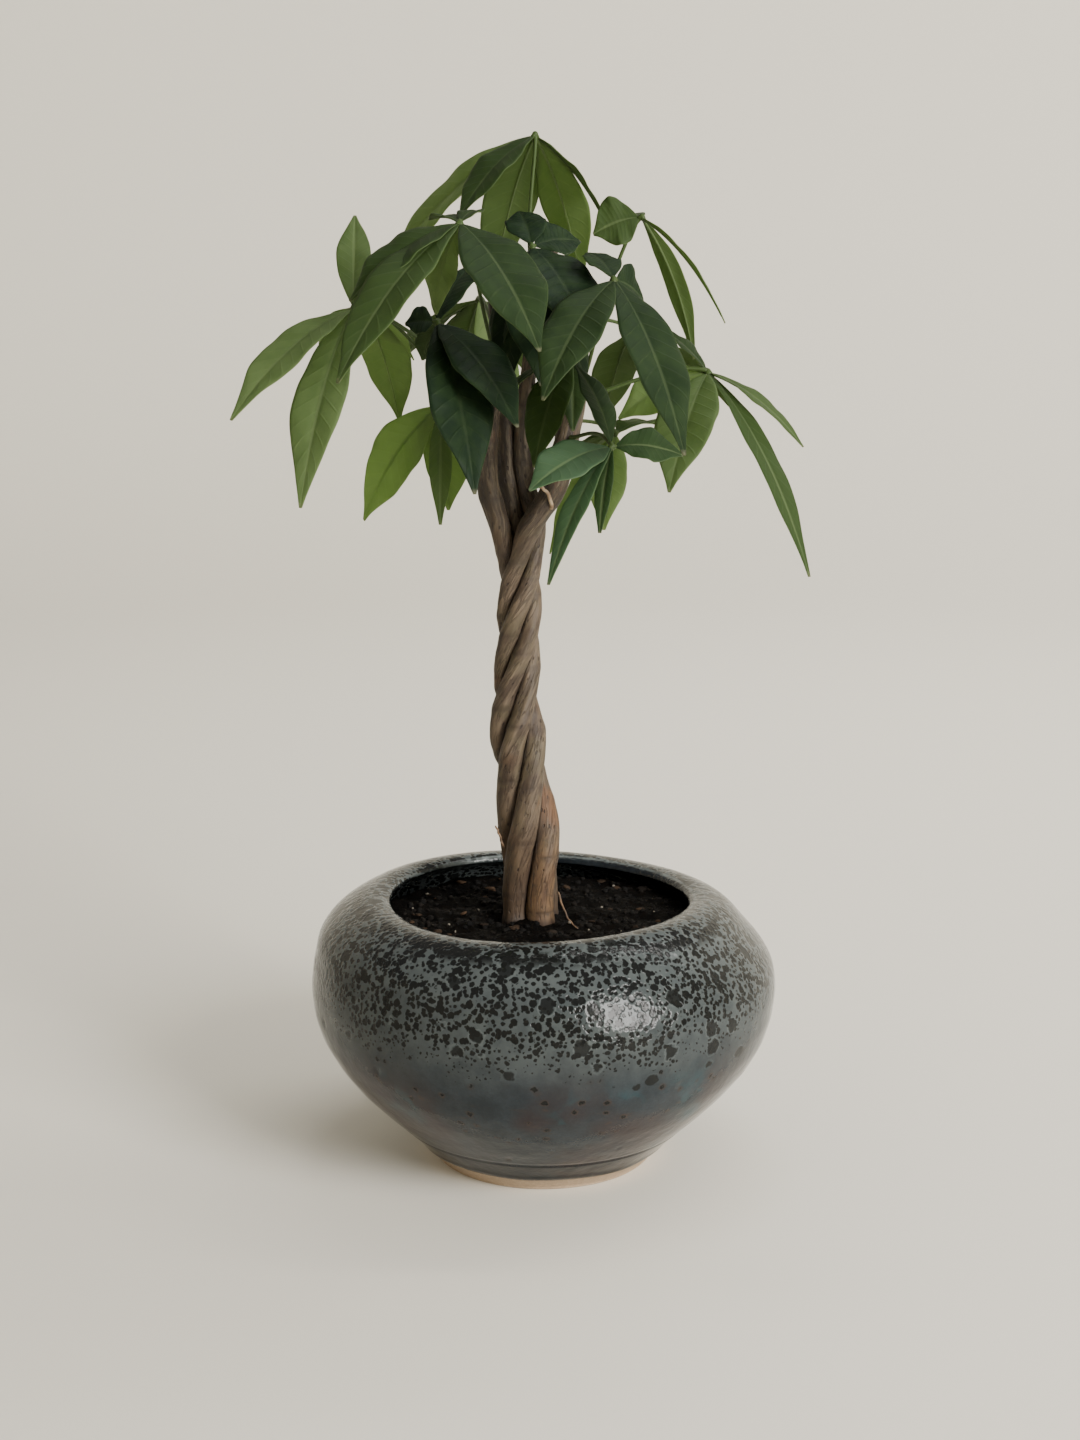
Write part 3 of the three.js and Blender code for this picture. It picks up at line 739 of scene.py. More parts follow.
def bark_relief(angles, along, seed):
    """How far the bark stands proud: ridges along the stem, lumps, and the swellings of old leaf nodes."""
    swelling = NODE_HEIGHT * node_at(along, seed) ** NODE_SHARPNESS
    relief = []
    for x, y in zip(np.cos(angles), np.sin(angles)):
        place = Vector((x * RIDGE_ACROSS + seed, y * RIDGE_ACROSS, along * RIDGE_ALONG))
        ridge = noise.fractal(place, 1, 2, 3)
        lump = noise.noise(Vector((seed, x * LUMP_ACROSS, along * LUMP_ALONG)))
        relief.append(RIDGE_HEIGHT * ridge + swelling + LUMP_HEIGHT * lump)
    return np.array(relief)


def rounded(below_tip, rounding):
    """How much of its girth a stem has this far below its tip."""
    return math.sqrt(max(0.02, min(1, below_tip / rounding)))


def stem_rings(stem, seed):
    """The rings of a stem, and two marks for each point: its place in the untwisted stem, then how deep it
    lies between its neighbours and how near to a leaf node."""
    tip = stem["top"][-1][0]
    round_it = full_turn(BARK_SIDES)
    rings, marks, pinches = [], [], []
    for z in np.linspace(ROOT_HEIGHT, tip, round((tip - ROOT_HEIGHT) / BARK_STEP)):
        x, y, radius = stem_at(stem, z)
        angles = round_it + twist(z)
        out = reach(stem, z, angles)
        pressed = 1 - out / radius
        flare = ROOT_FLARE * math.exp(-(((z - SOIL_LEVEL) / FLARE_RUN) ** 2))
        swell = TOP_SWELL * min(1, max(0, (z - SPLIT) / SWELL_RUN))
        out = out + (bark_relief(round_it, z, seed) + flare + swell) * np.clip(1 - 3 * pressed, 0, 1)
        outline = ring(x, y, out * rounded(tip - z, STEM_ROUNDING), angles, z)
        middle, girth = through(TRUNK, min(z, SPLIT))
        from_middle = np.hypot(outline[:, 0] - middle, outline[:, 1])
        inner = 1 - from_middle / ((BRAID_RADIUS + STRAND_RADIUS) * girth) if z < SPLIT else pressed
        rings.append(outline)
        marks.append(ring(0, 0, radius, round_it, z))
        ringed = np.full(len(out), node_at(z, seed) ** SCAR_SHARPNESS)
        pinches.append(np.stack([inner, ringed, np.zeros(len(out))], axis=1))
    return np.array(rings), np.concatenate(marks), np.concatenate(pinches)


def fork_rings(fork, seed):
    round_it = full_turn(BARK_SIDES)
    rings, marks = [], []
    low, tip = fork[0][0], fork[-1][0]
    for z in np.linspace(low, tip, round((tip - low) / BARK_STEP)):
        x, y, radius = through(fork, z)
        out = (radius + bark_relief(round_it, z, seed)) * rounded(tip - z, FORK_ROUNDING)
        rings.append(ring(x, y, out, round_it, z))
        marks.append(ring(0, 0, radius, round_it, z))
    return np.array(rings), np.concatenate(marks)


def joined(shapes):
    """Several (points, faces) as one."""
    points, faces, count = [], [], 0
    for some, skins in shapes:
        points.append(some)
        faces += [[i + count for i in f] for f in skins]
        count += len(some)
    return np.concatenate(points), faces


def young_bark(name, warmth):
    finish = Finish(name)
    at = finish.place()
    _, _, z = finish.parts(at)
    section_x, section_y, along = finish.parts(finish.mark("grain"))
    grain = finish.joined(section_x, section_y, along * 0.12)
    pinch, ringed, _ = finish.parts(finish.mark("pinch"))
    streak = finish.cloud(grain, 1.3, 4, 0.6)
    blotch = finish.cloud(finish.joined(section_x, section_y, along * 0.24), 3.4, 5, 0.66)
    patch = finish.cloud(at, 13, 3)
    low = (z + (patch - 0.5) * 26).rise(*LOW_BARK)
    high = z.rise(*HIGH_BARK)
    foot = (z + (patch - 0.5) * 12 + (blotch - 0.5) * 8).rise(*FOOT_STAIN_AND_SHADE)
    earthy = finish.coated(
        BARK_RED,
        (blotch.rise(0.36, 0.60), BARK_TAN),
        (finish.cloud(at, 5.5, 5, 0.7).rise(0.52, 0.64) * 0.8, BARK_DEEP),
        # Cooler stems are darker low down: their own bark and dirt, with painted shade.
        (0.72 - 0.72 * warmth, BARK_DEEP),
    )
    shaded = finish.blend(streak.rise(0.40, 0.60) * blotch.rise(0.36, 0.56), SHADED_DEEP, SHADED_BARK)
    healed = finish.node("VectorMath", {"operation": "DISTANCE"}, {0: at, 1: WOUND}).out("Value")
    healed = (healed + (streak - 0.5) * 9).rise(8.5, 5.5)
    torn = finish.cloud(finish.joined(section_x, section_y, along * 0.3), 2.6, 4, 0.7).rise(0.56, 0.64)
    crack = abs(finish.cloud(grain, 2.6, 3, 0.6) - 0.5).rise(0.022, 0.004)
    specks = finish.cells(finish.joined(section_x, section_y, along * 0.45), 1.7)
    scar = (specks.rise(0.20, 0.12) * finish.cloud(at, 7).rise(0.46, 0.56)).or_more(crack * 0.55)
    scar = scar.or_more(ringed * streak.rise(0.35, 0.55) * 0.7)
    colour = finish.coated(
        BARK_DEEP,
        (blotch.rise(0.34, 0.62), BARK_GREY),
        (streak.rise(0.62, 0.40) * 0.45, BARK_DEEP),
        (finish.cloud(at, 8, 4).rise(0.45, 0.62) * 0.45, BARK_OLIVE),
        (patch.rise(0.50, 0.66) * (0.3 + 0.4 * warmth), BARK_RED),
        (low * (0.70 + 0.25 * warmth), earthy),
        # Darker at the foot of the cooler stems: soil stain with painted shade.
        (foot * (0.72 - 0.72 * warmth), BARK_DEEP),
        (high * 0.85, shaded),
        (healed * (0.45 + blotch.rise(0.4, 0.6) * 0.4), WOUND_RED),
        (torn * high * 0.45, BARK_RED),
        (scar * 0.8, BARK_SCAR_DIRT_AND_SHADE),
        ((z + streak * 3).rise(*WET_FOOT) * 0.75, BARK_SCAR_DIRT_AND_SHADE),
        # Darker in the crevices between the strands: dirt there, with painted shade where they press
        # together.
        (pinch.rise(0.22, 0.50) * 0.9, BARK_SCAR_DIRT_AND_SHADE),
    )
    relief = finish.bump(blotch, 0.30, finish.bump(streak - scar, 0.30))
    return finish.close(finish.surface(colour, 0.50 + blotch * 0.25, 0.35, relief))


for number, (name, stem) in enumerate(STEMS.items()):
    seed = number * 3.7
    rings, marks, pinches = stem_rings(stem, seed)
    shapes = [skin(rings)]
    if "fork" in stem:
        rings, fork_marks = fork_rings(stem["fork"], seed + 1)
        shapes.append(skin(rings))
        marks = np.concatenate([marks, fork_marks])
        pinches = np.concatenate([pinches, np.zeros_like(fork_marks)])
    points, faces = joined(shapes)
    bark = piece(f"{name}_stem", points, faces, [young_bark(f"bark_{name}", stem["warmth"])],
                 {"grain": marks, "pinch": pinches})
    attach(bark, "root")
    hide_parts(f"stem_{name}")

# A few dry remains are still on the trunk: the curled stub of a leaf stalk, two bare twigs, and a fine root
# that runs over the soil. Each grew out of the stem and is rooted in its bark.


def tube(path, radii, sides):
    """A closed tube round a path of points, with a radius at each."""
    path = np.asarray(path, float)
    ahead = np.gradient(path, axis=0)
    ahead /= np.linalg.norm(ahead, axis=1)[:, None]
    across = np.cross(ahead[0], (0, 0, 1) if abs(ahead[0][2]) < 0.9 else (1, 0, 0))
    round_it = full_turn(sides)
    rings = []
    for point, direction, radius in zip(path, ahead, radii):
        across = across - direction * np.dot(across, direction)
        across /= np.linalg.norm(across)
        up = np.cross(direction, across)
        circle = np.outer(np.cos(round_it), across) + np.outer(np.sin(round_it), up)
        rings.append(point + radius * circle)
    return skin(np.array(rings))


# Each remain: its radius at the root and at the tip, and the corners of its curve.
REMAINS = {
    "curled_stub": (0.60, 0.36, [
        (2.2, -8.2, 201.5), (2.4, -11.5, 206), (-0.4, -11.8, 208.6), (-2.4, -11.0, 208.2)]),
    "dark_twig": (0.50, 0.28, [(8.2, -5.0, 205), (12, -7, 205.4), (15.2, -8, 207)]),
    "foot_twig": (0.40, 0.25, [(-12.2, -4.8, 98), (-13.5, -6.2, 103), (-14.6, -6.4, 105.4)]),
    "fine_root": (0.34, 0.16, [(4.4, -5.4, 84), (6.0, -9.2, 80), (7.4, -12.4, 76.4), (10.4, -15.0, 75.6)]),
}
REMAIN_STEPS = 24
REMAIN_SIDES = 10
REMAIN_WOBBLE = 0.12
DRY_PALE = (0.36, 0.28, 0.18)
DRY_BROWN = (0.16, 0.095, 0.05)
DRY_DARK = (0.06, 0.04, 0.028)


def dry_wood(name, pale, deep):
    finish = Finish(name)
    at = finish.place()
    colour = finish.blend(finish.cloud(at, 2.5, 4).rise(0.35, 0.7), pale, deep)
    return finish.close(finish.surface(colour, 0.7, relief=finish.bump(finish.cloud(at, 0.8, 3), 0.2)))


dry_stub = dry_wood("dry_stub", DRY_PALE, DRY_BROWN)
dry_root = dry_wood("dry_root", DRY_BROWN, DRY_DARK)
along = np.linspace(0, 1, REMAIN_STEPS)
wobble = REMAIN_WOBBLE * np.stack([np.sin(19 * along), np.cos(23 * along), np.sin(29 * along)], axis=1)
for name, (root, tip, corners) in REMAINS.items():
    points, faces = tube(bezier(corners, along) + wobble, root + (tip - root) * along, REMAIN_SIDES)
    remain = piece(name, points, faces, [dry_stub if name == "curled_stub" else dry_root])
    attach(remain, "root")

# Each leaf is palmate: a long petiole with a knuckle at its end, round which its leaflets droop, each on a
# short stalk and stiffened by a rib. They are soft and grew as one, out of the bark of the young stems.

PETIOLE_RADIUS = 0.561
PETIOLE_ROOT = 0.75
PETIOLE_END = 0.45
PETIOLE_BOW = 0.16
PETIOLE_LEVEL = 0.2
PETIOLE_SHOULDER = 0.68
PETIOLE_SINK = 0.6
PETIOLE_STEPS = 36
PETIOLE_SIDES = 12
KNUCKLE_RADIUS = 1.6
KNUCKLE_CORE = 0.55
BLADE_THICKNESS = 0.34
BLADE_ALONG = 44
BLADE_ACROSS = 16
BLADE_START = 1.1
BLADE_STALK = 0.45
BLADE_SKEW = 1.05
BLADE_FULLNESS = 0.9
BLADE_FOLD = 0.2
BLADE_ARCH = 0.07
ARCH_PLACE = 0.45
TIP_FROM = 0.66
TIP_RUN = 0.30
TIP_NARROWING = 0.42
BLADE_WAVE = 0.035
WAVES = 2.5
BLADE_RIPPLE = 0.008
RIPPLES = 6.3
BLADE_CUP = 0.10
GROOVE_DEPTH = 0.22
GROOVE_WIDTH = 0.5
UNEVEN_EDGE = 0.007
EDGE_WAVES = 4.1
VEINS = 12
VEIN_SWEEP = 0.11
QUILTING = 0.009
RIB_RADIUS = 0.34
RIB_TIP = 0.1
RIB_SINK = 0.12
RIB_SIDES = 8
USUAL_LENGTH = 50
USUAL_WIDTH = 20

# Each leaf: the stem it grows on, or its fork, the height where it leaves it, its knuckle [x, y, z], its
# slot, and its leaflets as [heading, drop, length, width, roll, tone]. Heading 0 points right and 90 away,
# in degrees, drop is the angle below level, and roll tips the blade about its rib. Tone holds both age and
# painted light: 0 for old, dark growth in painted shade, 1 for young growth painted bright as if lit from
# behind, and more for a leaflet painted brighter still, right against the light.
LEAVES = {
    "top": {
        "stem": "middle", "height": 268, "knuckle": [-2.5, 4, 308], "slot": "leaf_mid",
        "leaflets": [[-143, 42, 36, 14, 10, 0.40], [110, 48, 57, 17, 0, 0.66], [66, 50, 55, 15, 0, 0.82],
                     [28, 46, 34, 10, -20, 0.35], [157, 39, 66, 16, 45, 0.84]],
    },
    "front_left": {
        "stem": "left_inner", "height": 246, "knuckle": [-22.9, -34, 281.8], "slot": "leaf_mid",
        "leaflets": [[-129, 41, 64, 17, 10, 0.60], [-152, 33, 39, 16, 15, 0.54],
                     [-55, 42, 51, 21, -10, 0.25], [120, -4, 18, 7, 0, 0.4], [72, -11, 18, 7, 0, 0.4],
                     [150, 72, 26, 12, 80, 1.0]],
    },
    "far_left": {
        "stem": "left_inner", "height": 236, "knuckle": [-54.7, -8, 258.9], "slot": "leaf_fresh",
        "leaflets": [[92, -56, 32, 10, 0, 0.73], [-134, 34, 54, 14, 15, 0.85], [-112, 58, 64, 16, 0, 0.80],
                     [60, -18, 32, 12, 0, 0.66], [84, 14, 26, 9, 0, 0.66]],
    },
    "shaded_left": {
        "stem": "left", "height": 222, "knuckle": [-29.9, -24, 255.1], "slot": "leaf_dark",
        "leaflets": [[-70, 54, 56, 18, 0, 0.0], [-50, 38, 45, 17, -10, 0.03], [120, 50, 14, 8, 0, 0.2],
                     [62, -38, 26, 12, 0, 0.06], [175, 4, 9, 10, 50, 0.05]],
    },
    "low_left": {
        "stem": "left", "height": 214, "knuckle": [-31, 20, 230.5], "slot": "leaf_fresh",
        "leaflets": [[152, 52, 46.5, 18, 80, 1.7], [-90, 68, 38, 7, 0, 0.68], [108, 32, 28, 11, 0, 0.7],
                     [80, 76, 34, 15, 0, 1.0]],
    },
    "mid_left": {
        "stem": "left_inner", "height": 226, "knuckle": [-54.5, 18, 260], "slot": "leaf_fresh",
        "leaflets": [[65, 58, 42, 17, 0, 0.92], [20, 46, 23, 12, 0, 1.0], [134, 30, 24, 10, 0, 0.85]],
    },
    "centre": {
        "stem": "middle", "height": 258, "knuckle": [-3.4, -14, 276.1], "slot": "leaf_dark",
        "leaflets": [[106, -36, 17, 12, 10, 0.0], [35, -5, 17, 13, -45, 0.02], [-60, 40, 41, 19, -10, 0.0],
                     [-84, 56, 46, 19, 0, 0.02], [-122, 72, 42, 14, 0, 0.03], [-150, 72, 38, 13, 0, 0.02],
                     [-45, 62, 45, 14, 0, 0.1]],
    },
    "front_right": {
        "stem": "right", "height": 238, "knuckle": [19.1, -34, 266.7], "slot": "leaf_mid",
        "leaflets": [[114, -24, 18, 11, 0, 0.12], [-118, 37, 52, 17, 10, 0.25], [-66, 47, 62, 16, 0, 0.18],
                     [48, 24, 14, 14, -65, 0.15]],
    },
    "high_right": {
        "stem": "right", "fork": True, "height": 250, "knuckle": [28.5, 4, 285], "slot": "leaf_mid",
        "leaflets": [[180, 20, 15, 16, 65, 0.63], [42, 61, 47, 7, 20, 0.66], [-38, 46, 42, 6, 30, 0.66],
                     [110, 4, 20, 9, 0, 0.5]],
    },
    "far_right": {
        "stem": "right", "height": 234, "knuckle": [47.7, -4, 241], "slot": "leaf_fresh",
        "leaflets": [[150, -34, 25, 9, 0, 0.3], [-36, 33, 38, 8, 0, 0.68], [-56, 50, 72, 9, 4, 0.60],
                     [-113, 45, 46, 18, 0, 0.71], [165, 28, 30, 15, 60, 1.0]],
    },
    "low_right": {
        "stem": "right", "height": 222, "knuckle": [18.6, -42, 221.8], "slot": "leaf_dark",
        "leaflets": [[8, 8, 20, 13, -40, 0.55], [-138, 19, 32, 15, 25, 0.72], [-116, 40, 52, 8, -10, 0.66],
                     [-110, 66, 25, 5, 0, 0.45], [138, -58, 26, 11, 0, 0.3]],
    },
    "low_back": {
        "stem": "right", "fork": True, "height": 226, "knuckle": [22, 18, 222], "slot": "leaf_fresh",
        "leaflets": [[150, 34, 28, 12, 0, 0.55], [-108, 66, 31, 12, 0, 1.0], [60, 0, 34, 13, 0, 0.6],
                     [112, 24, 34, 12, 0, 0.6], [-158, 59, 42, 11, 0, 1.0]],
    },
    "inner": {
        "stem": "middle", "height": 236, "knuckle": [8, -10, 247], "slot": "leaf_mid",
        "leaflets": [[-122, 58, 38, 14, 0, 0.42], [-168, 34, 24, 10, 0, 0.2], [-88, 70, 24, 8, 0, 0.35]],
    },
    "back_left": {
        "stem": "left_inner", "height": 252, "knuckle": [-20, 38, 262], "slot": "leaf_fresh",
        "leaflets": [[148, 34, 40, 15, 0, 0.5], [105, 44, 46, 17, 0, 0.55], [66, 34, 40, 15, 0, 0.6],
                     [30, 50, 32, 11, 0, 0.6], [-60, 72, 50, 15, 0, 0.95]],
    },
    "back_right": {
        "stem": "right", "fork": True, "height": 255, "knuckle": [27, 34, 252], "slot": "leaf_mid",
        "leaflets": [[24, 34, 42, 15, 0, 0.45], [62, 30, 50, 17, 0, 0.5], [104, 44, 42, 15, 0, 0.5],
                     [-14, 46, 34, 11, -10, 0.45]],
    },
}

# Blade colours, from old growth in painted shade up to young growth painted bright, as if lit from behind.
LEAF_DARK = (0.0105, 0.0220, 0.0110)
LEAF_MID = (0.0235, 0.0430, 0.0140)
LEAF_FRESH_AND_LIT = (0.170, 0.235, 0.100)
LEAF_LIGHT = (0.39, 0.54, 0.210)
OLD_FRESH_AND_LIT = (0.120, 0.205, 0.128)
OLD_LIGHT = (0.27, 0.47, 0.280)
UNDERSIDE = (0.075, 0.105, 0.036)
RIB_GREEN = (0.23, 0.30, 0.135)
NO_LIGHT = (0.0, 0.0, 0.0)
LIGHT_THROUGH = 0.30
MORE_WHEN_FRESH = 0.18
LESS_WHEN_OLD = 0.67
STALK_GREEN = (0.034, 0.058, 0.014)
STALK_BROWN = (0.060, 0.048, 0.020)
BLEACHED = (0.55, 0.50, 0.33)
UP = np.array([0, 0, 1.0])


def pointing(heading, drop):
    """The direction this many degrees round and this many degrees below level."""
    compass, fall = math.radians(heading), math.radians(drop)
    level = math.cos(fall)
    return np.array([math.cos(compass) * level, math.sin(compass) * level, -math.sin(fall)])


def rib_line(hub, row):
    """A leaflet's arched middle line, the direction to its side, and the direction up at each point."""
    heading, drop, length, _, roll, _ = row
    tip = math.radians(roll)
    chord = pointing(heading, drop)
    level = np.cross(pointing(heading, 0), UP)
    lift = np.cross(level, chord)
    side = level * math.cos(tip) + lift * math.sin(tip)
    arch = hub + chord * length * ARCH_PLACE + lift * 2 * BLADE_ARCH * length
    corners = [hub + chord * BLADE_START, arch, hub + chord * length]
    line = bezier(corners, np.linspace(0, 1, BLADE_ALONG + 1))
    normal = np.cross(side, np.gradient(line, axis=0))
    return line, side, normal / np.linalg.norm(normal, axis=1)[:, None]


def sheet_faces(rows, columns):
    """The faces of a thin sheet of two layers of points: its upper side, its under side and its edge."""
    count = rows * columns
    grid = np.arange(count).reshape(rows, columns)
    quads = np.stack([grid[:-1, :-1], grid[1:, :-1], grid[1:, 1:], grid[:-1, 1:]], axis=-1).reshape(-1, 4)
    rim = np.concatenate([grid[:-1, 0], grid[-1, :-1], grid[:0:-1, -1], grid[0, :0:-1]])
    after = np.roll(rim, -1)
    edge = np.stack([after, rim, rim + count, after + count], axis=-1)
    return quads.tolist() + (quads[:, ::-1] + count).tolist() + edge.tolist()


def blade(hub, row, index):
    """A leaflet and the rib under it: the points and faces of each, and the marks for each point. Those are
    how far along and across it lies and on which side, then the leaflet's tone and width."""
    heading, _, length, width, _, tone = row
    rib, side, normal = rib_line(hub, row)
    seed = math.sin(12.9 * heading + 7.7 * length + index) % 1
    along = np.linspace(0, 1, BLADE_ALONG + 1)[:, None]
    across = np.linspace(-1, 1, BLADE_ACROSS + 1)[None, :]
    edge = np.abs(across)
    turns = 2 * math.pi * along
    swell = np.maximum(0, np.sin(math.pi * along**BLADE_SKEW)) ** BLADE_FULLNESS
    taper = 1 - TIP_NARROWING * np.clip((along - TIP_FROM) / TIP_RUN, 0, 1) ** 1.5
    half = BLADE_STALK + (width / 2 - BLADE_STALK) * swell * taper
    wave = BLADE_WAVE * width * swell * np.sin(WAVES * turns + 2 * index + across)
    ripple = BLADE_RIPPLE * width * swell * np.sin(RIPPLES * turns + 9 * seed + 2 * across)
    cup = BLADE_CUP * half * edge**3
    vein = np.cos(2 * math.pi * VEINS * (along - VEIN_SWEEP * edge))
    quilt = QUILTING * width * swell * vein * edge**0.5 * (1 - edge) ** 0.7
    groove = GROOVE_DEPTH * np.exp(-((across * half / GROOVE_WIDTH) ** 2)) * swell
    rise = edge * (BLADE_FOLD * half + wave) + edge**2 * ripple - cup + quilt - groove
    uneven = 1 + UNEVEN_EDGE * np.sin(EDGE_WAVES * turns + 5 * seed + 3 * np.sign(across))
    sideways = side * (across * half * uneven)[..., None]
    middle = rib[:, None, :] + sideways + normal[:, None, :] * rise[..., None]
    thin = normal[:, None, :] * (BLADE_THICKNESS / 2 * (1 - 0.5 * edge**4))[..., None]
    points = np.concatenate([(middle + thin).reshape(-1, 3), (middle - thin).reshape(-1, 3)])
    spots = np.stack([*np.broadcast_arrays(along, across)], axis=-1).reshape(-1, 2)

    shown = slice(0, BLADE_ALONG - 1)
    rib_path = rib + normal * (-groove[:, BLADE_ACROSS // 2] - RIB_SINK)[:, None]
    rib_radius = RIB_RADIUS * (1 - along[:, 0]) ** 0.75 * (length / USUAL_LENGTH) ** 0.5 + RIB_TIP
    ribbing = tube(rib_path[shown], rib_radius[shown], RIB_SIDES)
    rib_spots = np.repeat(along[shown, 0], RIB_SIDES)[:, None] * (1, 0)
    marks = np.concatenate([
        np.insert(spots, 2, 1, axis=1), np.insert(spots, 2, 0, axis=1), np.insert(rib_spots, 2, 1, axis=1)])
    kind = np.tile([tone, width / USUAL_WIDTH, 0], (len(marks), 1))
    return (points, sheet_faces(along.size, across.size)), ribbing, marks, kind


def petiole(spec):
    """The petiole's middle line and its radii, from inside the bark to the knuckle."""
    stem, height, forked = STEMS[spec["stem"]], spec["height"], "fork" in spec
    knuckle = np.array(spec["knuckle"], float)
    x, y, radius = through(stem["fork"], height) if forked else stem_at(stem, height)
    compass = math.atan2(knuckle[1] - y, knuckle[0] - x)
    out = np.array([math.cos(compass), math.sin(compass), 0])
    bark = radius if forked else reach(stem, height, np.array([compass]))[0]
    root = np.array([x, y, height]) + out * (bark - PETIOLE_SINK)
    far = knuckle - root
    length = np.linalg.norm(far)
    shoulder = root + far * PETIOLE_SHOULDER + UP * PETIOLE_BOW * length
    t = np.linspace(0, 1, PETIOLE_STEPS)
    path = bezier([root, root + out * PETIOLE_LEVEL * length, shoulder, knuckle], t)
    return path, PETIOLE_RADIUS * (1 + PETIOLE_ROOT * (1 - t) ** 9 + PETIOLE_END * t**14)


def knuckle_form(hub, rows):
    """The swollen end of a petiole, drawn out a little towards each leaflet."""
    form, skins = ball_form(3)
    pull = sum(np.maximum(0, form @ pointing(heading, drop)) ** 6 for heading, drop, *_ in rows)
    drawn_out = KNUCKLE_CORE + (1 - KNUCKLE_CORE) * np.minimum(1, pull)
    return hub + form * KNUCKLE_RADIUS * drawn_out[:, None], skins


def living_leaf(name, fresh_and_lit, light):
    finish = Finish(name)
    along, across, side = finish.parts(finish.mark("blade"))
    tone, width, _ = finish.parts(finish.mark("tone"))
    at = finish.place()
    edge = abs(across)
    under = 1 - side
    mottle = finish.cloud(at, 5, 4, 0.6)
    run = (along - edge * VEIN_SWEEP) * VEINS
    beside = abs(run - run.math("ROUND", run))
    vein = beside.rise(0.10, 0.02) * edge.rise(1.0, 0.75) * edge.rise(0.02, 0.1)
    rib = (edge * width * (1.35 - along)).rise(0.045, 0.018)
    # Tone paints light as well as age: a dark blade in shade, and where light is behind it a bright blade
    # with painted paler rib, veins and edge.
    colour = finish.coated(
        LEAF_DARK,
        ((tone * 2).rise(0, 1), LEAF_MID),
        ((tone * 2 - 1).rise(0, 1), fresh_and_lit),
        (under * 0.45, UNDERSIDE),
        (mottle.rise(0.35, 0.7) * 0.35, shade(LEAF_MID, 1.5)),
        (vein * (0.015 + tone * 0.08), RIB_GREEN),
        (rib * (0.035 + tone * 0.42), RIB_GREEN),
        (edge.rise(0.955, 1.0) * (0.06 + tone * 0.3), RIB_GREEN),
        (along.rise(0.97, 1.0) * 0.18, BLEACHED),
    )
    relief = finish.bump(vein * -1 + finish.cloud(at, 1.4, 3) * 0.5, 0.10)
    passing = LIGHT_THROUGH + tone * MORE_WHEN_FRESH
    ageing = 1 - (1 - tone).or_more(0) * LESS_WHEN_OLD
    glowing = passing * ageing * (1 + (rib * 0.14 + vein * 0.04) * tone)
    # The solid share of the blade stays 1 - passing, however much of the rest glows.
    dulled = 1 - (1 - passing) / (1 - glowing)
    colour = finish.blend(dulled, colour, NO_LIGHT)
    solid = finish.surface(colour, 0.42 + mottle * 0.16 + under * 0.2, 0.07, relief)
    through_it = finish.node("BsdfTranslucent", {}, {"Color": (*light, 1)})
    return finish.close(finish.node("MixShader", {}, {0: glowing, 1: solid, 2: through_it}))


def green_stalk():
    finish = Finish("leaf_stalk")
    at = finish.place()
    age = finish.cloud(at, 9, 3)
    colour = finish.blend(age.rise(0.55, 0.8) * 0.6, STALK_GREEN, STALK_BROWN)
    return finish.close(finish.surface(colour, 0.5, 0.2, finish.bump(finish.cloud(at, 1.2, 3), 0.08)))


young_blade = living_leaf("young_leaf_blade", LEAF_FRESH_AND_LIT, LEAF_LIGHT)
old_blade = living_leaf("old_leaf_blade", OLD_FRESH_AND_LIT, OLD_LIGHT)
leaf_stalk = green_stalk()
for name, spec in LEAVES.items():
    hub = np.array(spec["knuckle"], float)
    shapes, alongs, kinds, chosen = [], [], [], []
    for index, row in enumerate(spec["leaflets"]):
        sheet, ribbing, marks, kind = blade(hub, row, index)
        shapes += [sheet, ribbing]
        alongs.append(marks)
        kinds.append(kind)
        chosen += [0] * (len(sheet[1]) + len(ribbing[1]))
    for shape in (tube(*petiole(spec), PETIOLE_SIDES), knuckle_form(hub, spec["leaflets"])):
        shapes.append(shape)
        alongs.append(np.zeros((len(shape[0]), 3)))
        kinds.append(np.zeros((len(shape[0]), 3)))
        chosen += [1] * len(shape[1])
    points, faces = joined(shapes)
    leaf_blade = old_blade if spec["slot"] == "leaf_dark" else young_blade
    leaf = piece(f"{name}_leaf", points, faces, [leaf_blade, leaf_stalk],
                 {"blade": np.concatenate(alongs), "tone": np.concatenate(kinds)}, chosen)
    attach(leaf, "root")
    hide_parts(f"leaf_{name}")

# The plant stands on a plain pale floor that curves up into a wall all round it. It is seen from slightly
# above, in soft light from a large window on the right.

STAGE_RADIUS = 1900
STAGE_CURVE = 700
STAGE_HEIGHT = 1500
STAGE_SIDES = 128
FLAT_SPACING = 200
CURVE_SPACING = 60
STAGE_PALE = (0.71, 0.68, 0.60)
ROOM_COLOUR = (0.93, 0.90, 0.86)
ROOM_LIGHT = 0.47
SENSOR_WIDTH = 36
PHOTO_HEIGHT_PX = 1440
FOCAL_PX = 2000
CAMERA_PITCH = 11.5
CAMERA_DISTANCE = 606
CAMERA_TARGET = (-1.1, 0, 136.7)

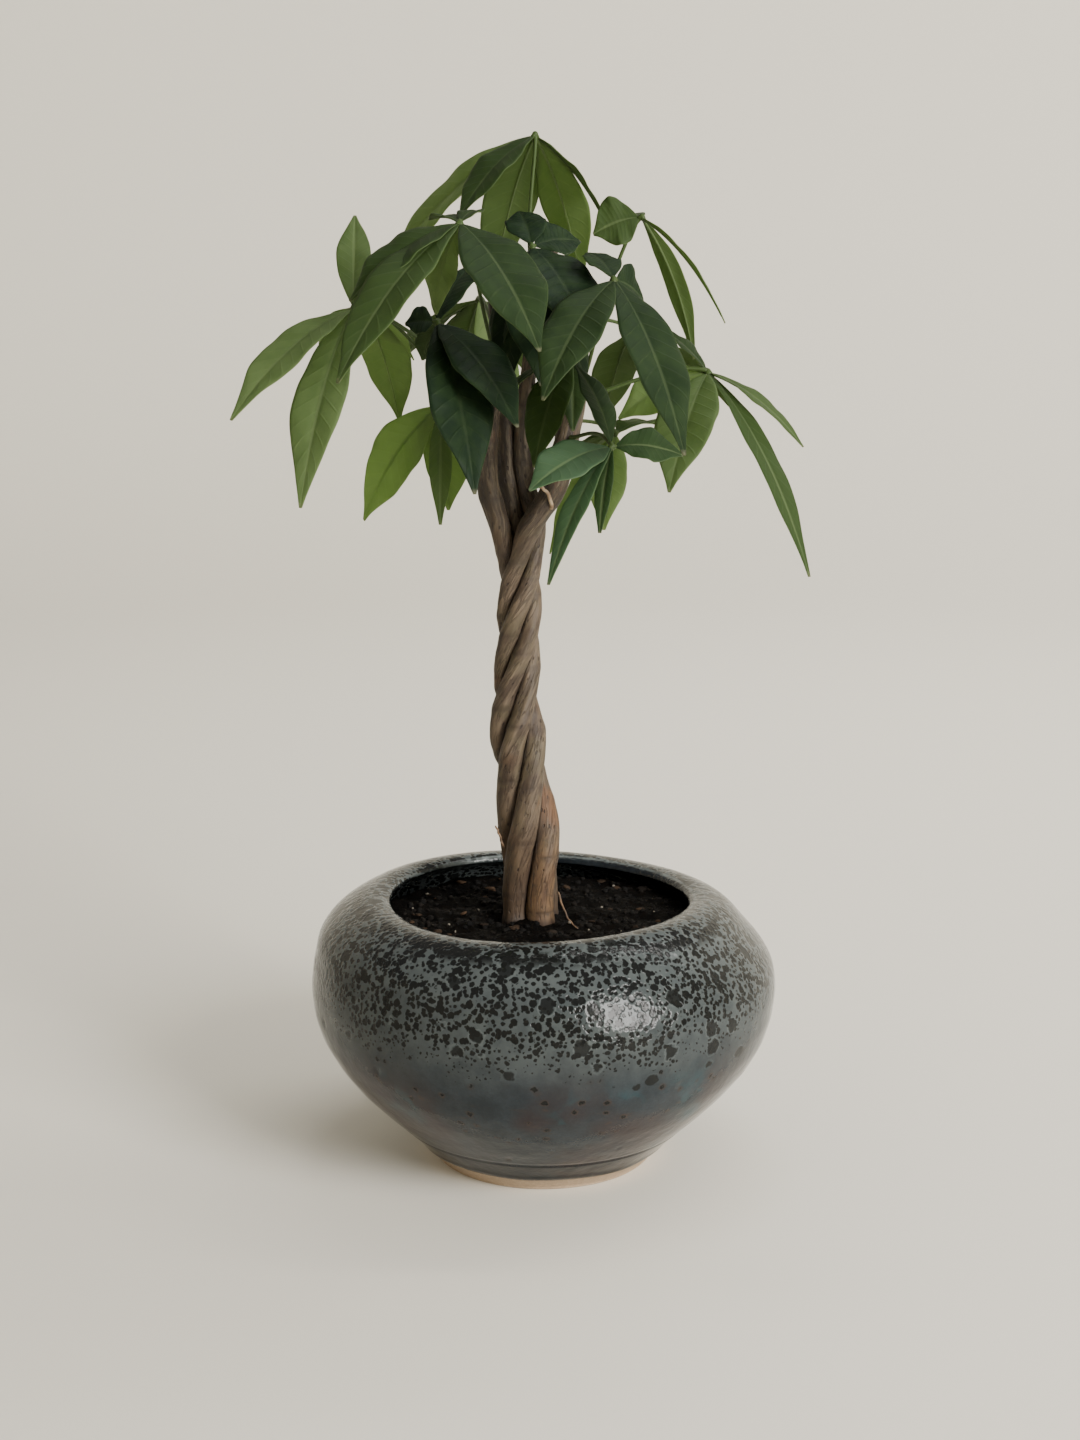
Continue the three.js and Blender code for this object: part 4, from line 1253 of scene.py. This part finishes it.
stage_profile = sampled([
    ([(0, 0), (STAGE_RADIUS - STAGE_CURVE, 0)], FLAT_SPACING),
    ([(STAGE_RADIUS - STAGE_CURVE, 0), (STAGE_RADIUS, 0), (STAGE_RADIUS, STAGE_CURVE)], CURVE_SPACING),
    ([(STAGE_RADIUS, STAGE_CURVE), (STAGE_RADIUS, STAGE_HEIGHT)], FLAT_SPACING),
])


def pale_stage():
    finish = Finish("pale_stage")
    return finish.close(finish.surface((*STAGE_PALE, 1), 0.9))


turn = full_turn(STAGE_SIDES)
points, faces = skin(np.array([ring(0, 0, radius, turn, height) for radius, height in stage_profile[1:]]))
floor = piece("floor", points, faces[:-1], [pale_stage()])


def area_light(name, place, aim, size, power, colour):
    lamp = bpy.data.lights.new(name, "AREA")
    lamp.shape = "RECTANGLE"
    lamp.size, lamp.size_y = size[0] * MM, size[1] * MM
    lamp.energy = power
    lamp.color = colour
    made = bpy.data.objects.new(name, lamp)
    bpy.context.scene.collection.objects.link(made)
    made.location = Vector(place) * MM
    made.rotation_euler = (Vector(aim) - Vector(place)).to_track_quat("-Z", "Y").to_euler()
    made.visible_camera = False


area_light("window", place=(820, -900, 620), aim=(0, 0, 150), size=(520, 700), power=36,
           colour=(1.0, 0.975, 0.94))
area_light("wall_wash", place=(600, 300, 1300), aim=(700, 1900, 300), size=(1400, 500), power=30,
           colour=(1.0, 0.985, 0.95))

world = bpy.data.worlds.new("soft_room")
world.use_nodes = True
room = world.node_tree.nodes["Background"].inputs
room["Color"].default_value = (*ROOM_COLOUR, 1)
room["Strength"].default_value = ROOM_LIGHT
bpy.context.scene.world = world

camera_data = bpy.data.cameras.new("camera")
camera_data.sensor_width = SENSOR_WIDTH
camera_data.lens = SENSOR_WIDTH * FOCAL_PX / PHOTO_HEIGHT_PX
camera = bpy.data.objects.new("camera", camera_data)
bpy.context.scene.collection.objects.link(camera)
pitch = math.radians(CAMERA_PITCH)
forward = Vector((0, math.cos(pitch), -math.sin(pitch)))
camera.location = (Vector(CAMERA_TARGET) - forward * CAMERA_DISTANCE) * MM
camera.rotation_euler = (math.pi / 2 - pitch, 0, 0)
bpy.context.scene.camera = camera
